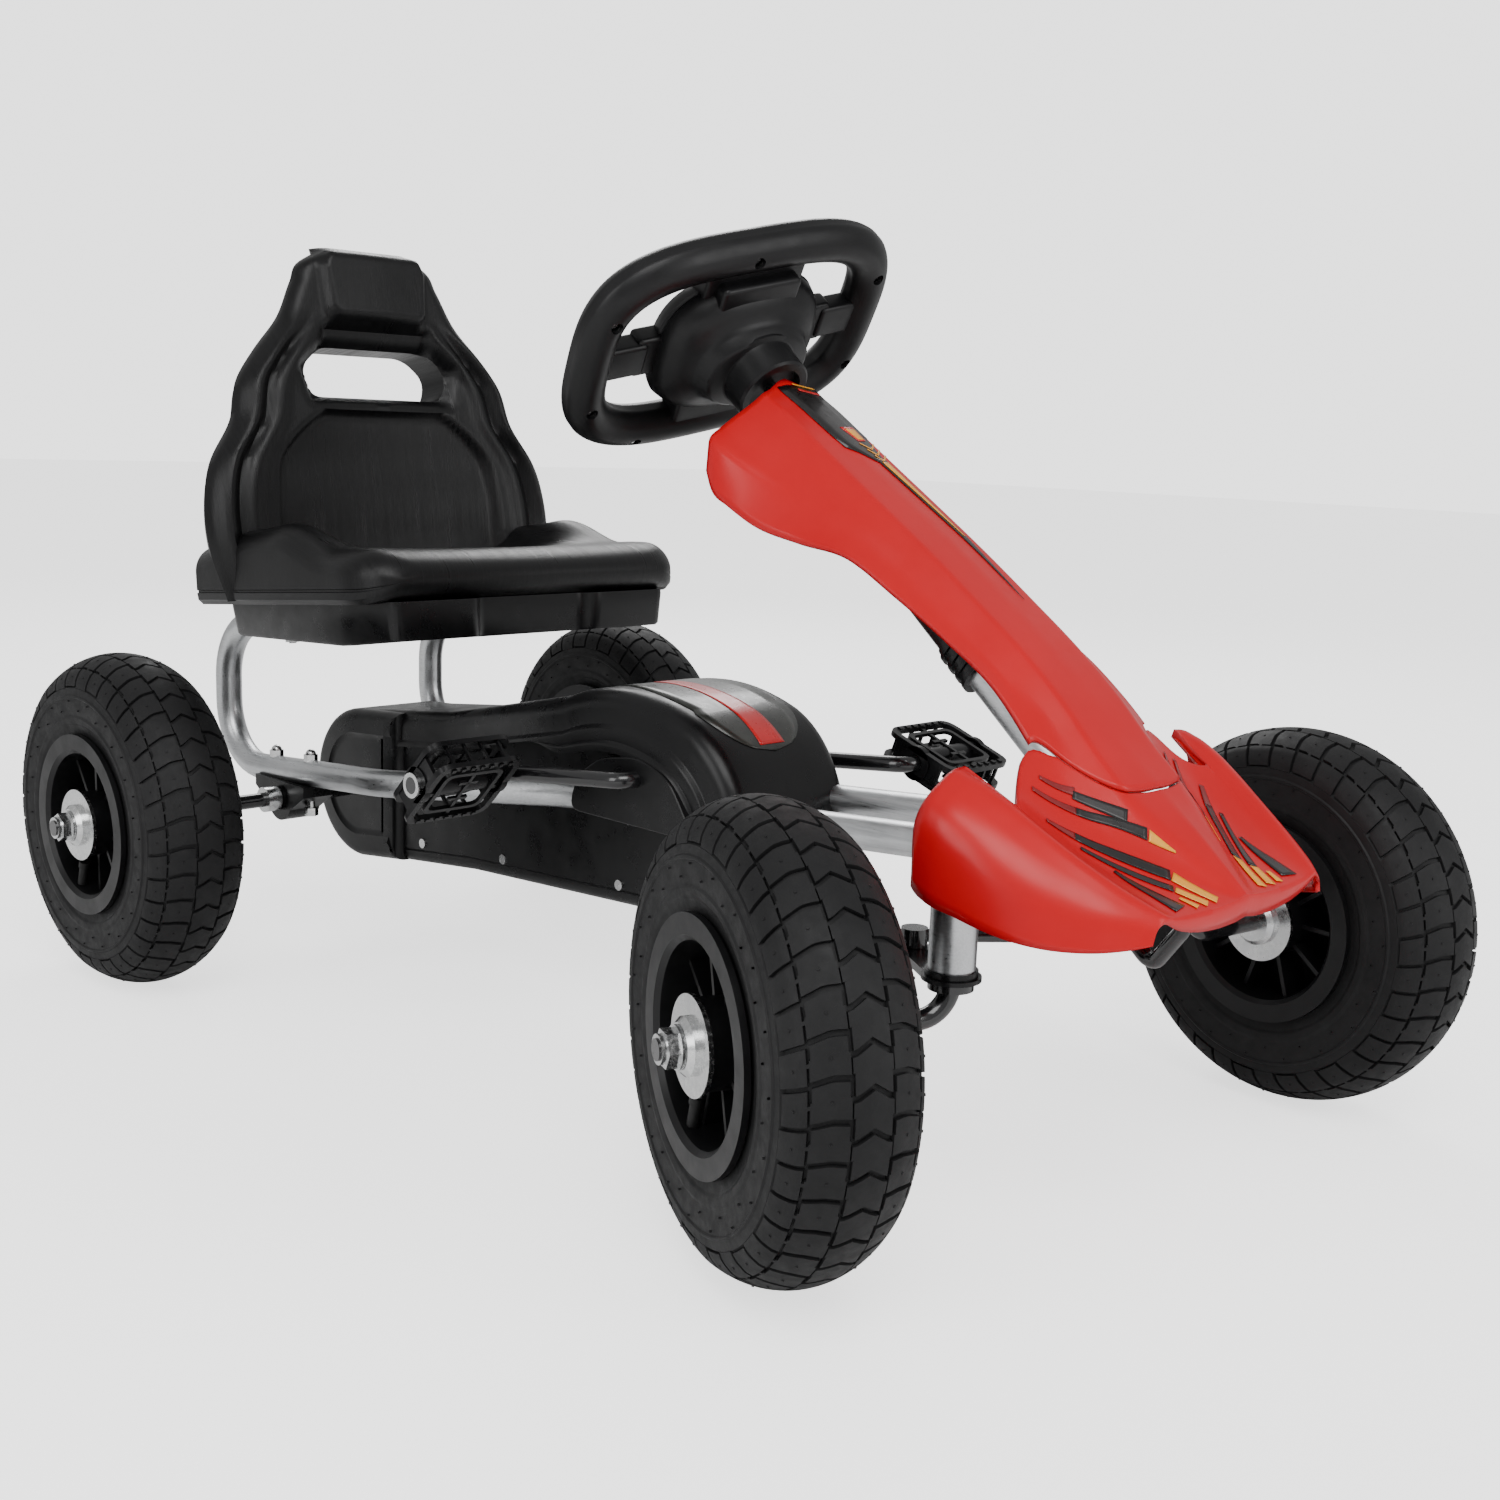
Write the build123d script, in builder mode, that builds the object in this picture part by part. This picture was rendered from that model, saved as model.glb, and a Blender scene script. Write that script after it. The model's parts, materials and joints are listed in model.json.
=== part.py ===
"""Pedal go kart, in millimetres.  +X is forward, +Y is the driver's left, +Z is up.

All places below are kart coordinates, measured from the ground under the middle of the
rear axle.  at() turns them into the model's own frame, whose origin is on the ground in the
middle of the kart's box.  The kart stands with its steering turned to the right.
"""
from build123d import *
from math import atan2, cos, degrees, pi, radians, sin
import os

os.makedirs("parts", exist_ok=True)

# ---------------------------------------------------------------- driving dimensions
TYRE_R = 130.0  # rolling radius of all four wheels
TYRE_HALF = 38.5  # half of the tyre's width
SHOULDER = (33.0, 117.0)  # half width and radius where the crown meets the side wall
RIM_R = 70.0  # rim lip
RIM_HALF = 41.0
SEAT_R = 62.0  # bead seat
DISH_R = 55.0  # open dish in the face of the rim
HUB_R = 25.0
WHEEL_RIBS = 10
RIB_HEIGHT = 52.0
VALVE_ANGLE = 162.0  # from straight up, round the wheel

AXLE_R = 6.0
RUN_GAP = 0.06  # radial clearance of a running fit
REAR_HALF_TRACK = 252.0
WHEELBASE = 720.0
KINGPIN_Y = 127.0
STUB_OUT = 113.0  # kingpin axis to the middle of the front wheel

COLUMN_TURN = 17.0  # how far the steering wheel is turned to the right
RIGHT_TURN = 22.0  # how far each road wheel is turned by that
LEFT_TURN = 8.4

RAIL_R = 11.0  # main tubes
RAIL_WALL = 1.6
RAIL_Y_BACK = 106.0
RAIL_Y_FRONT = 47.0
RAIL_SLOPE = 0.08
RAIL_Z0 = 151.5  # height of the lower rails' centre line above the rear axle
SEAT_SLOPE = 0.09  # the seat run climbs towards the front
SEAT_RUN_Z = 276.6  # height of the seat run's centre line above the rear axle

KINGPIN_TUBE_R = 13.5
KINGPIN_BOTTOM = 158.0
KINGPIN_TOP = 226.0
BEAM_Z = 206.0
BEAM_R = 12.7

COLUMN_ANGLE = 40.5  # of the steering column above the ground
WHEEL_X = 398.0  # middle of the steering wheel
WHEEL_Z = 512.0
SHAFT_R = 5.0

CRANK_X = 391.0
CRANK_Z = 204.0
CRANK_THROW = 100.0
CRANK_TILT = 4.0
CRANK_R = 6.0
PEDAL_Y = 150.0
FRONT_TEETH = 24
REAR_TEETH = 20
CHAIN_PITCH = 12.7
CROWN_DROP = TYRE_R - SHOULDER[1]
CROWN_R = (SHOULDER[0] ** 2 + CROWN_DROP ** 2) / (2 * CROWN_DROP)  # roundness of the crown

CASE_HALF = 38.0  # half width of the chain case between the rails
CASE_REAR_HALF = 45.0
CASE_DOME_HALF = 64.0  # over the crank, where it covers the rails
CASE_WALL = 3.0


def outward(turn, side):
    """Direction of a wheel's axle, away from the kart; side is +1 left and -1 right."""
    return Vector(side * sin(radians(turn)), side * cos(radians(turn)), 0)


# The box of the kart: the rear tyres are its back, the turned left front tyre its front, and
# the ends of the rear axle its sides.
def forward_reach(turn):
    """Farthest reach of a turned tyre ahead of its middle, over its round crown."""
    return (TYRE_R - CROWN_R) * cos(radians(turn)) + CROWN_R


def wheel_place(turn, side):
    kingpin = Vector(WHEELBASE, side * KINGPIN_Y, 0)
    return kingpin + outward(turn, side) * STUB_OUT + Vector(0, 0, TYRE_R)


RIGHT_WHEEL = wheel_place(RIGHT_TURN, -1)
LEFT_WHEEL = wheel_place(LEFT_TURN, 1)
SIDEWAYS = Vector(0, 1, 0)
UP = Vector(0, 0, 1)
FRONT_END = LEFT_WHEEL.X + forward_reach(LEFT_TURN)
ORIGIN_X = (FRONT_END - TYRE_R) / 2


def at(x, y, z):
    """A place on the kart, in the model's frame."""
    return Vector(x - ORIGIN_X, y, z)


def local(v):
    return at(v.X, v.Y, v.Z)


def save(builder, name):
    builder.part.label = name
    export_step(builder.part, f"parts/{name}.step")


def rail_z(x):
    return RAIL_Z0 + RAIL_SLOPE * x


def seat_run_z(x):
    return SEAT_RUN_Z + SEAT_SLOPE * x


def side_plane(y):
    """An upright plane along the kart, with sketch x forward and sketch y up."""
    return Plane(origin=at(0, y, 0), x_dir=(1, 0, 0), z_dir=(0, -1, 0))


def cross_plane(x):
    """An upright plane across the kart, with sketch x to the left and sketch y up."""
    return Plane(origin=at(x, 0, 0), x_dir=(0, 1, 0), z_dir=(1, 0, 0))


def bent_rod(name, points, bends, radius, inner=0.0):
    """A rod or tube along straight runs joined by bends."""
    with BuildPart() as rod:
        with BuildLine() as path:
            FilletPolyline(*points, radius=bends)
        with BuildSketch(Plane(origin=path.line @ 0, z_dir=path.line % 0)):
            Circle(radius)
            if inner:
                Circle(inner, mode=Mode.SUBTRACT)
        sweep()
    rod.part.label = name
    return rod


def ring(centre, axis, start, end, outer, inner=0.0):
    """Adds a disc, tube or collar to the part being built, between two places on an axis."""
    with BuildSketch(Plane(origin=centre + axis * start, z_dir=axis)) as disc:
        Circle(outer)
        if inner:
            Circle(inner, mode=Mode.SUBTRACT)
    extrude(disc.sketch, amount=end - start)


def hexagon(centre, axis, start, end, flats, inner=0.0):
    with BuildSketch(Plane(origin=centre + axis * start, z_dir=axis)) as hexagonal:
        RegularPolygon(flats / 2, 6, major_radius=False)
        if inner:
            Circle(inner, mode=Mode.SUBTRACT)
    extrude(hexagonal.sketch, amount=end - start)


# ---------------------------------------------------------------- wheels
# Each of these adds one piece of a wheel to the part being built.  In the section, the first
# number runs outwards along the axle and the second is the radius.
def wheel_section(centre, axis):
    return Plane(origin=centre, x_dir=axis, z_dir=axis.cross(UP))


def add_tyre(centre, axis):
    with BuildSketch(wheel_section(centre, axis)) as section:
        with BuildLine():
            Line((28, SEAT_R), (36, SEAT_R))
            Line((36, SEAT_R), (36, 71))
            ThreePointArc((36, 71), (TYRE_HALF, 97), SHOULDER)
            ThreePointArc(SHOULDER, (0, TYRE_R), (-SHOULDER[0], SHOULDER[1]))
            ThreePointArc((-SHOULDER[0], SHOULDER[1]), (-TYRE_HALF, 97), (-36, 71))
            Line((-36, 71), (-36, SEAT_R))
            Line((-36, SEAT_R), (-28, SEAT_R))
            Line((-28, SEAT_R), (-28, 72))
            ThreePointArc((-28, 72), (-32.5, 97), (-28, 113))
            ThreePointArc((-28, 113), (0, 124), (28, 113))
            ThreePointArc((28, 113), (32.5, 97), (28, 72))
            Line((28, 72), (28, SEAT_R))
        make_face()
    revolve(section.sketch, axis=Axis(centre, axis))


def add_inner_tube(centre, axis):
    with BuildSketch(wheel_section(centre, axis)) as section:
        with Locations((0, 92)):
            Ellipse(25.5, 28)
            Ellipse(24, 26.5, mode=Mode.SUBTRACT)
    revolve(section.sketch, axis=Axis(centre, axis))


def add_rim(centre, axis):
    edge = RIM_HALF - 3
    with BuildSketch(wheel_section(centre, axis)) as section:
        with BuildLine():
            Polyline(
                (-36, SEAT_R), (36, SEAT_R), (37, RIM_R), (RIM_HALF, RIM_R), (RIM_HALF, DISH_R + 3),
                (edge, DISH_R), (3, DISH_R - 3), (3, HUB_R), (39, HUB_R), (39, 15), (-39, 15),
                (-39, HUB_R), (-3, HUB_R), (-3, DISH_R - 3), (-edge, DISH_R),
                (-RIM_HALF, DISH_R + 3), (-RIM_HALF, RIM_R), (-37, RIM_R), close=True)
        make_face()
    revolve(section.sketch, axis=Axis(centre, axis))
    with BuildSketch(Plane(origin=centre - axis * (RIB_HEIGHT / 2), z_dir=axis)) as ribs:
        with PolarLocations((DISH_R + HUB_R) / 2 - 0.5, WHEEL_RIBS):
            Rectangle(DISH_R - HUB_R, 3)
    extrude(ribs.sketch, amount=RIB_HEIGHT)


def add_hub_plates(centre, axis, bore):
    for way in (1, -1):
        with BuildSketch(wheel_section(centre, axis)) as section:
            with BuildLine():
                Polyline(
                    (way * 28, bore), (way * 48, bore), (way * 48, 13), (way * 45, 16),
                    (way * 42, 16), (way * 42, 27.5), (way * 39.2, 27.5), (way * 39.2, 14.9),
                    (way * 28, 14.9), close=True)
            make_face()
        revolve(section.sketch, axis=Axis(centre, axis))


def add_valve(centre, axis):
    """Valve stem, reaching inwards from the rim's barrel between two ribs."""
    angle = radians(VALVE_ANGLE)
    spoke = UP * cos(angle) + axis.cross(UP) * sin(angle)
    ring(centre + axis * 32, spoke, 34, DISH_R - 1.2, 3.6)
    ring(centre + axis * 32, spoke, 34, 39, 4.4)


def add_axle_nut(centre, axis):
    """Washer and self-locking nut on the outer end of an axle."""
    ring(centre, axis, 48.2, 50.2, 12, AXLE_R)
    hexagon(centre, axis, 50.2, 57, 19, AXLE_R)
    ring(centre, axis, 57, 60, 8.2, AXLE_R)


WHEELS = {
    "front_right": (local(RIGHT_WHEEL), outward(RIGHT_TURN, -1)),
    "front_left": (local(LEFT_WHEEL), outward(LEFT_TURN, 1)),
    "rear_right": (at(0, -REAR_HALF_TRACK, TYRE_R), Vector(0, -1, 0)),
    "rear_left": (at(0, REAR_HALF_TRACK, TYRE_R), Vector(0, 1, 0)),
}
WHEEL_GROUPS = {  # the small pieces of the two rear wheels turn together and are kept together
    "front_right": ["front_right"],
    "front_left": ["front_left"],
    "rear": ["rear_right", "rear_left"],
}
for tag, (centre, axis) in WHEELS.items():
    with BuildPart() as tyre:
        add_tyre(centre, axis)
    save(tyre, f"tyre_{tag}")
    with BuildPart() as rim:
        add_rim(centre, axis)
    save(rim, f"rim_{tag}")

for group, tags in WHEEL_GROUPS.items():
    places = [WHEELS[tag] for tag in tags]
    bore = AXLE_R if group == "rear" else AXLE_R + RUN_GAP
    with BuildPart() as inner_tube:
        for centre, axis in places:
            add_inner_tube(centre, axis)
    save(inner_tube, f"inner_tube_{group}")
    with BuildPart() as hub_plates:
        for centre, axis in places:
            add_hub_plates(centre, axis, bore)
    save(hub_plates, f"hub_plates_{group}")
    with BuildPart() as valve:
        for centre, axis in places:
            add_valve(centre, axis)
    save(valve, f"valve_{group}")
    with BuildPart() as axle_nut:
        for centre, axis in places:
            add_axle_nut(centre, axis)
    save(axle_nut, f"axle_nut_{group}")

# ---------------------------------------------------------------- rear axle
with BuildPart() as rear_axle:
    ring(at(0, 0, TYRE_R), SIDEWAYS, -REAR_HALF_TRACK - 61, REAR_HALF_TRACK + 61, AXLE_R)
save(rear_axle, "rear_axle")

BRACKET_HALF = 14.0
with BuildPart() as axle_collars:
    for side in (-1, 1):
        start = RAIL_Y_BACK + BRACKET_HALF + 3
        ring(at(0, 0, TYRE_R), SIDEWAYS * side, start, start + 12, 10.5, AXLE_R)
save(axle_collars, "axle_collars")


BOLT_X = 27.0
# ---------------------------------------------------------------- main tubes
SEAT_BACK_X = -60.0
seat_tilt = atan2(SEAT_SLOPE, 1)
seat_side = Plane(  # lies on top of the seat run, with x forward along it and y square to it
    origin=at(SEAT_BACK_X - RAIL_R * sin(seat_tilt), 0,
              seat_run_z(SEAT_BACK_X) + RAIL_R * cos(seat_tilt)),
    x_dir=(cos(seat_tilt), 0, sin(seat_tilt)), z_dir=(0, -1, 0))
C_BACK = -105.0
RAIL_START = 185.0  # front end of the seat run
RAIL_BEND_1 = 130.0
RAIL_BEND_2 = 292.0


BOLT_R = 3.0
CRANK_BOLT_X = CRANK_X - 30
SEAT_BOLTS = (60, 146)  # along the seat run, from the back of the pan


def bolt_holes(side):
    """Cuts the holes of the upright bolts on one side out of the part being built."""
    for x, y in ((-BOLT_X, RAIL_Y_BACK), (BOLT_X, RAIL_Y_BACK), (CRANK_BOLT_X, RAIL_Y_FRONT)):
        with BuildSketch(Plane(origin=at(x, side * y, 110))) as hole:
            Circle(BOLT_R)
        extrude(hole.sketch, amount=120, mode=Mode.SUBTRACT)


def seat_bolt_holes(side):
    for along in SEAT_BOLTS:
        foot = seat_side.from_local_coords((along, -40, 0)) + SIDEWAYS * side * RAIL_Y_BACK
        with BuildSketch(Plane(origin=foot, z_dir=seat_side.y_dir)) as hole:
            Circle(BOLT_R)
        extrude(hole.sketch, amount=45, mode=Mode.SUBTRACT)


def rail_points(side):
    back = side * RAIL_Y_BACK
    front = side * RAIL_Y_FRONT
    return [
        at(RAIL_START, back, seat_run_z(RAIL_START)), at(C_BACK, back, seat_run_z(C_BACK)),
        at(C_BACK, back, rail_z(C_BACK)), at(RAIL_BEND_1, back, rail_z(RAIL_BEND_1)),
        at(RAIL_BEND_2, front, rail_z(RAIL_BEND_2)),
        at(WHEELBASE - 4, front, rail_z(WHEELBASE - 4))]


RAIL_BENDS = [52, 52, 110, 110]
for name, side in (("right", -1), ("left", 1)):
    rail = bent_rod(f"main_tube_{name}", rail_points(side), RAIL_BENDS, RAIL_R, RAIL_R - RAIL_WALL)
    with BuildPart() as main_tube:
        add(rail.part)
        with BuildSketch(Plane(origin=at(WHEELBASE, -70, BEAM_Z), z_dir=(0, 1, 0))):
            Circle(BEAM_R)
        extrude(amount=140, mode=Mode.SUBTRACT)
        bolt_holes(side)
        seat_bolt_holes(side)
    save(main_tube, f"main_tube_{name}")

EAR_TOP = RAIL_Z0 - RAIL_R + 4
with BuildPart() as axle_brackets:
    for side in (-1, 1):
        y = side * RAIL_Y_BACK
        with BuildSketch(side_plane(y + BRACKET_HALF)):
            with BuildLine():
                ears = Polyline((17, TYRE_R - 8), (38, EAR_TOP - 9), (38, EAR_TOP), (-38, EAR_TOP),
                                (-38, EAR_TOP - 9), (-17, TYRE_R - 8))
                ThreePointArc(ears @ 1, (0, TYRE_R - 19), ears @ 0)
            make_face()
            with Locations((0, TYRE_R)):
                Circle(10, mode=Mode.SUBTRACT)
        extrude(amount=2 * BRACKET_HALF)
        with BuildSketch(Plane(origin=at(-60, y, rail_z(-60)), z_dir=(1, 0, RAIL_SLOPE))):
            Circle(RAIL_R)
        extrude(amount=120, mode=Mode.SUBTRACT)
        bolt_holes(side)
save(axle_brackets, "axle_brackets")

with BuildPart() as front_beam:
    ring(at(WHEELBASE, 0, BEAM_Z), SIDEWAYS, -KINGPIN_Y, KINGPIN_Y, BEAM_R, BEAM_R - 2)
    for side in (-1, 1):
        with BuildSketch(Plane(origin=at(WHEELBASE, side * KINGPIN_Y, KINGPIN_BOTTOM - 5))):
            Circle(KINGPIN_TUBE_R)
        extrude(amount=90, mode=Mode.SUBTRACT)
save(front_beam, "front_beam")

with BuildPart() as kingpin_tubes:
    for side in (-1, 1):
        ring(at(WHEELBASE, side * KINGPIN_Y, 0), UP, KINGPIN_BOTTOM, KINGPIN_TOP,
             KINGPIN_TUBE_R, KINGPIN_TUBE_R - 2)
save(kingpin_tubes, "kingpin_tubes")

BUSH_LIP = 6.0
# ---------------------------------------------------------------- stub axles and tie rods
ARM_LENGTH = 65.0
ARM_INWARD = 10.0  # the steering arms point back and a little inwards
ARM_TOP = KINGPIN_BOTTOM - BUSH_LIP - 0.5
ARM_THICK = 5.0


def arm_end(turn, side):
    """Middle of the hole in the rear end of a steering arm."""
    angle = radians(180 + side * ARM_INWARD - turn)
    return Vector(WHEELBASE + ARM_LENGTH * cos(angle), side * KINGPIN_Y + ARM_LENGTH * sin(angle), 0)


for name, side, turn in (("right", -1, RIGHT_TURN), ("left", 1, LEFT_TURN)):
    foot = at(WHEELBASE, side * KINGPIN_Y, 0)
    tip = local(wheel_place(turn, side)) + outward(turn, side) * 61
    rod = bent_rod("stub", [foot + UP * (KINGPIN_TOP + 14), foot + UP * TYRE_R, tip], 20, AXLE_R)
    end = local(arm_end(turn, side))
    along = (end - foot).normalized()
    with BuildPart() as stub_axle:
        add(rod.part)
        with BuildSketch(Plane(origin=foot + UP * (ARM_TOP - ARM_THICK), x_dir=along, z_dir=UP)):
            with Locations((ARM_LENGTH / 2, 0)):
                SlotOverall(ARM_LENGTH + 20, 20)
            Circle(13)
            with Locations((ARM_LENGTH, 0)):
                Circle(4.06, mode=Mode.SUBTRACT)
        extrude(amount=ARM_THICK)
    save(stub_axle, f"stub_axle_{name}")
    with BuildPart() as kingpin_nut:
        ring(foot, UP, KINGPIN_TOP + 3.4, KINGPIN_TOP + 5, 12, AXLE_R)
        hexagon(foot, UP, KINGPIN_TOP + 5, KINGPIN_TOP + 13, 17, AXLE_R)
    save(kingpin_nut, f"kingpin_nut_{name}")

# ---------------------------------------------------------------- steering column
DOWN_COLUMN = Vector(cos(radians(COLUMN_ANGLE)), 0, -sin(radians(COLUMN_ANGLE)))
BELOW_COLUMN = Vector(-sin(radians(COLUMN_ANGLE)), 0, -cos(radians(COLUMN_ANGLE)))
WHEEL_MIDDLE = at(WHEEL_X, 0, WHEEL_Z)
COLUMN_AXIS = Axis(WHEEL_MIDDLE, DOWN_COLUMN * -1)
SLEEVE_FROM, SLEEVE_TO = 140.0, 318.0
TUBE_FROM, TUBE_TO = 140.0, 452.0
NECK_FROM = 68.0  # slim upper end of the sleeve, just under the collar
TUBE_R = 15.5


def turned(vector, turn):
    """A direction square to the column, turned with the steering wheel (positive is right)."""
    a = radians(turn)
    axis = DOWN_COLUMN
    return vector * cos(a) + axis.cross(vector) * sin(a)


def on_column(down, below, turn=COLUMN_TURN):
    return WHEEL_MIDDLE + DOWN_COLUMN * down + turned(BELOW_COLUMN, turn) * below


with BuildPart() as column_tube:
    ring(WHEEL_MIDDLE, DOWN_COLUMN, TUBE_FROM, TUBE_TO, TUBE_R, TUBE_R - 2)
    with BuildSketch(Plane(origin=at(WHEELBASE, -40, BEAM_Z), z_dir=(0, 1, 0))):
        Circle(BEAM_R)
    extrude(amount=80, mode=Mode.SUBTRACT)
save(column_tube, "column_tube")

with BuildPart() as steering_bushes:
    for start in (TUBE_FROM, TUBE_TO - 12):
        ring(WHEEL_MIDDLE, DOWN_COLUMN, start, start + 12, TUBE_R - 2, SHAFT_R + RUN_GAP)
    with BuildSketch(Plane(origin=at(WHEELBASE, -40, BEAM_Z), z_dir=(0, 1, 0))):
        Circle(BEAM_R)
    extrude(amount=80, mode=Mode.SUBTRACT)
    for side in (-1, 1):
        foot = at(WHEELBASE, side * KINGPIN_Y, 0)
        bore = AXLE_R + RUN_GAP
        ring(foot, UP, KINGPIN_BOTTOM - BUSH_LIP, KINGPIN_BOTTOM - 3.5, 17, bore)
        ring(foot, UP, KINGPIN_BOTTOM - 3.5, KINGPIN_BOTTOM, 15, bore)
        ring(foot, UP, KINGPIN_BOTTOM, KINGPIN_BOTTOM + 14, KINGPIN_TUBE_R - 2, bore)
        ring(foot, UP, KINGPIN_TOP, KINGPIN_TOP + 3, 15, bore)
        ring(foot, UP, KINGPIN_TOP - 14, KINGPIN_TOP, KINGPIN_TUBE_R - 2, bore)
save(steering_bushes, "steering_bushes")

with BuildPart() as column_sleeve:
    ring(WHEEL_MIDDLE, DOWN_COLUMN, NECK_FROM, SLEEVE_FROM, 8.5, SHAFT_R + RUN_GAP)
    ring(WHEEL_MIDDLE, DOWN_COLUMN, SLEEVE_FROM - 4, SLEEVE_FROM, 16.5, SHAFT_R + RUN_GAP)
    ring(WHEEL_MIDDLE, DOWN_COLUMN, SLEEVE_FROM, SLEEVE_TO - 30, 17, TUBE_R)
    ring(WHEEL_MIDDLE, DOWN_COLUMN, SLEEVE_TO - 30, SLEEVE_TO, 18.5, TUBE_R)
    for start in (SLEEVE_TO - 26, SLEEVE_TO - 18, SLEEVE_TO - 10, SLEEVE_TO - 3):
        ring(WHEEL_MIDDLE, DOWN_COLUMN, start, start + 3, 20, TUBE_R)
save(column_sleeve, "column_sleeve")

SHAFT_END = 517.0
SHAFT_THROW = 47.0  # the shaft's lower end is bent into a hook that pulls the tie rods
shaft_path = [on_column(-4, 0), on_column(SHAFT_END, 0), on_column(SHAFT_END, SHAFT_THROW),
              on_column(472, SHAFT_THROW)]
shaft = bent_rod("steering_shaft", shaft_path, 9, SHAFT_R)
save(shaft, "steering_shaft")

with BuildPart() as column_collar:
    ring(WHEEL_MIDDLE, DOWN_COLUMN, 40, 52, 27, SHAFT_R)
    ring(WHEEL_MIDDLE, DOWN_COLUMN, 52, 61, 24, 12)
save(column_collar, "column_collar")

# ---------------------------------------------------------------- steering wheel
ROUND = 14.0  # the rim's section
GRIP_X, GRIP_Y = 112.0, 72.0  # middle line of the rim
wheel_plane = Plane(origin=WHEEL_MIDDLE, x_dir=turned(Vector(0, -1, 0), COLUMN_TURN),
                    z_dir=DOWN_COLUMN * -1)


def rim_outline():
    RectangleRounded(2 * (GRIP_X + ROUND), 2 * (GRIP_Y + ROUND), 62)
    RectangleRounded(2 * (GRIP_X - ROUND), 2 * (GRIP_Y - ROUND), 34, mode=Mode.SUBTRACT)


def make_rim_shell(name, way):
    """One half of the steering wheel's rim with its spokes; way is +1 towards the driver."""
    with BuildPart() as shell:
        with BuildSketch(wheel_plane):
            rim_outline()
        extrude(amount=way * ROUND)
        outer = shell.faces().sort_by(Axis(WHEEL_MIDDLE, DOWN_COLUMN * -way))[-1]
        fillet(outer.edges(), 9)
        with BuildSketch(wheel_plane):
            Rectangle(2 * (GRIP_X - ROUND + 4), 32)
            Rectangle(86, 2 * (GRIP_Y - ROUND + 4))
            RectangleRounded(118, 96, 24)
        extrude(amount=way * 8)
        with BuildSketch(wheel_plane):
            Circle(SHAFT_R)
        extrude(amount=way * 30, mode=Mode.SUBTRACT)
    save(shell, name)


make_rim_shell("steering_rim_front", 1)
make_rim_shell("steering_rim_back", -1)

with BuildPart() as hub_pod:
    with BuildSketch(wheel_plane.offset(-8)):
        RectangleRounded(126, 104, 36)
    with BuildSketch(wheel_plane.offset(-40)):
        RectangleRounded(88, 76, 30)
    loft()
    with BuildSketch(wheel_plane):
        Circle(SHAFT_R)
    extrude(amount=-60, mode=Mode.SUBTRACT)
save(hub_pod, "hub_pod")

with BuildPart() as steering_screws:
    spots = [(GRIP_X, 30), (-GRIP_X, 30), (GRIP_X, -30), (-GRIP_X, -30), (0, GRIP_Y)]
    with BuildSketch(wheel_plane.offset(-ROUND)):
        with Locations(spots):
            Circle(3.2)
    extrude(amount=-1.2)
save(steering_screws, "steering_screws")

# ---------------------------------------------------------------- tie rods
TIE_GAP = 17.0  # each rod's eye lies beside the hook
for name, side, turn in (("right", -1, RIGHT_TURN), ("left", 1, LEFT_TURN)):
    end = local(arm_end(turn, side)) + UP * (ARM_TOP + 0.4)
    pin = on_column(494, SHAFT_THROW)
    path = [end + UP * 6, Vector(pin.X - 6, pin.Y + side * TIE_GAP, end.Z + 6)]
    with BuildPart() as tie_rod:
        ring(path[0], (path[1] - path[0]).normalized(), 0, (path[1] - path[0]).length, 4)
        for centre in path:
            ring(centre, UP, -6, 5, 8)
        ring(path[0], UP, -18, -5, 4)
        ring(path[0], UP, -18, -12.5, 7)
    save(tie_rod, f"tie_rod_{name}")

# ---------------------------------------------------------------- crank and pedals
arm_back = (CRANK_THROW * cos(radians(CRANK_TILT)), CRANK_THROW * sin(radians(CRANK_TILT)))
RIGHT_PEDAL = Vector(CRANK_X - arm_back[0], -PEDAL_Y, CRANK_Z - arm_back[1])
LEFT_PEDAL = Vector(CRANK_X + arm_back[0], PEDAL_Y, CRANK_Z + arm_back[1])
ARM_Y = 82.0
PIN_Y = 104.0
PEDAL_HALF = 35.0
RIGHT_PEDAL_TILT = radians(45)
LEFT_PEDAL_TILT = radians(-20)
crank_path = [
    at(RIGHT_PEDAL.X, -PEDAL_Y - PEDAL_HALF - 4, RIGHT_PEDAL.Z), at(RIGHT_PEDAL.X, -PIN_Y, RIGHT_PEDAL.Z),
    at(CRANK_X, -ARM_Y, CRANK_Z), at(CRANK_X, ARM_Y, CRANK_Z), at(LEFT_PEDAL.X, PIN_Y, LEFT_PEDAL.Z),
    at(LEFT_PEDAL.X, PEDAL_Y + PEDAL_HALF + 4, LEFT_PEDAL.Z)]
crank = bent_rod("crank", crank_path, 13, CRANK_R)
save(crank, "crank")

for name, centre, tilt in (("right", RIGHT_PEDAL, RIGHT_PEDAL_TILT), ("left", LEFT_PEDAL, LEFT_PEDAL_TILT)):
    with BuildPart() as pedal:
        middle = at(centre.X, centre.Y, centre.Z)
        flat = Plane(origin=middle, x_dir=(cos(tilt), 0, sin(tilt)), z_dir=(-sin(tilt), 0, cos(tilt)))
        with BuildSketch(flat.offset(-11)):
            RectangleRounded(64, 2 * PEDAL_HALF, 12)
            for way in (-1, 1):
                with Locations((way * 19, 0)):
                    RectangleRounded(14, 2 * PEDAL_HALF - 18, 5, mode=Mode.SUBTRACT)
        extrude(amount=22)
        ring(middle, SIDEWAYS, -PEDAL_HALF, PEDAL_HALF, 11)
        with BuildSketch(Plane(origin=middle - SIDEWAYS * 60, z_dir=(0, 1, 0))):
            Circle(CRANK_R + RUN_GAP)
        extrude(amount=120, mode=Mode.SUBTRACT)
    save(pedal, f"pedal_{name}")

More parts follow.
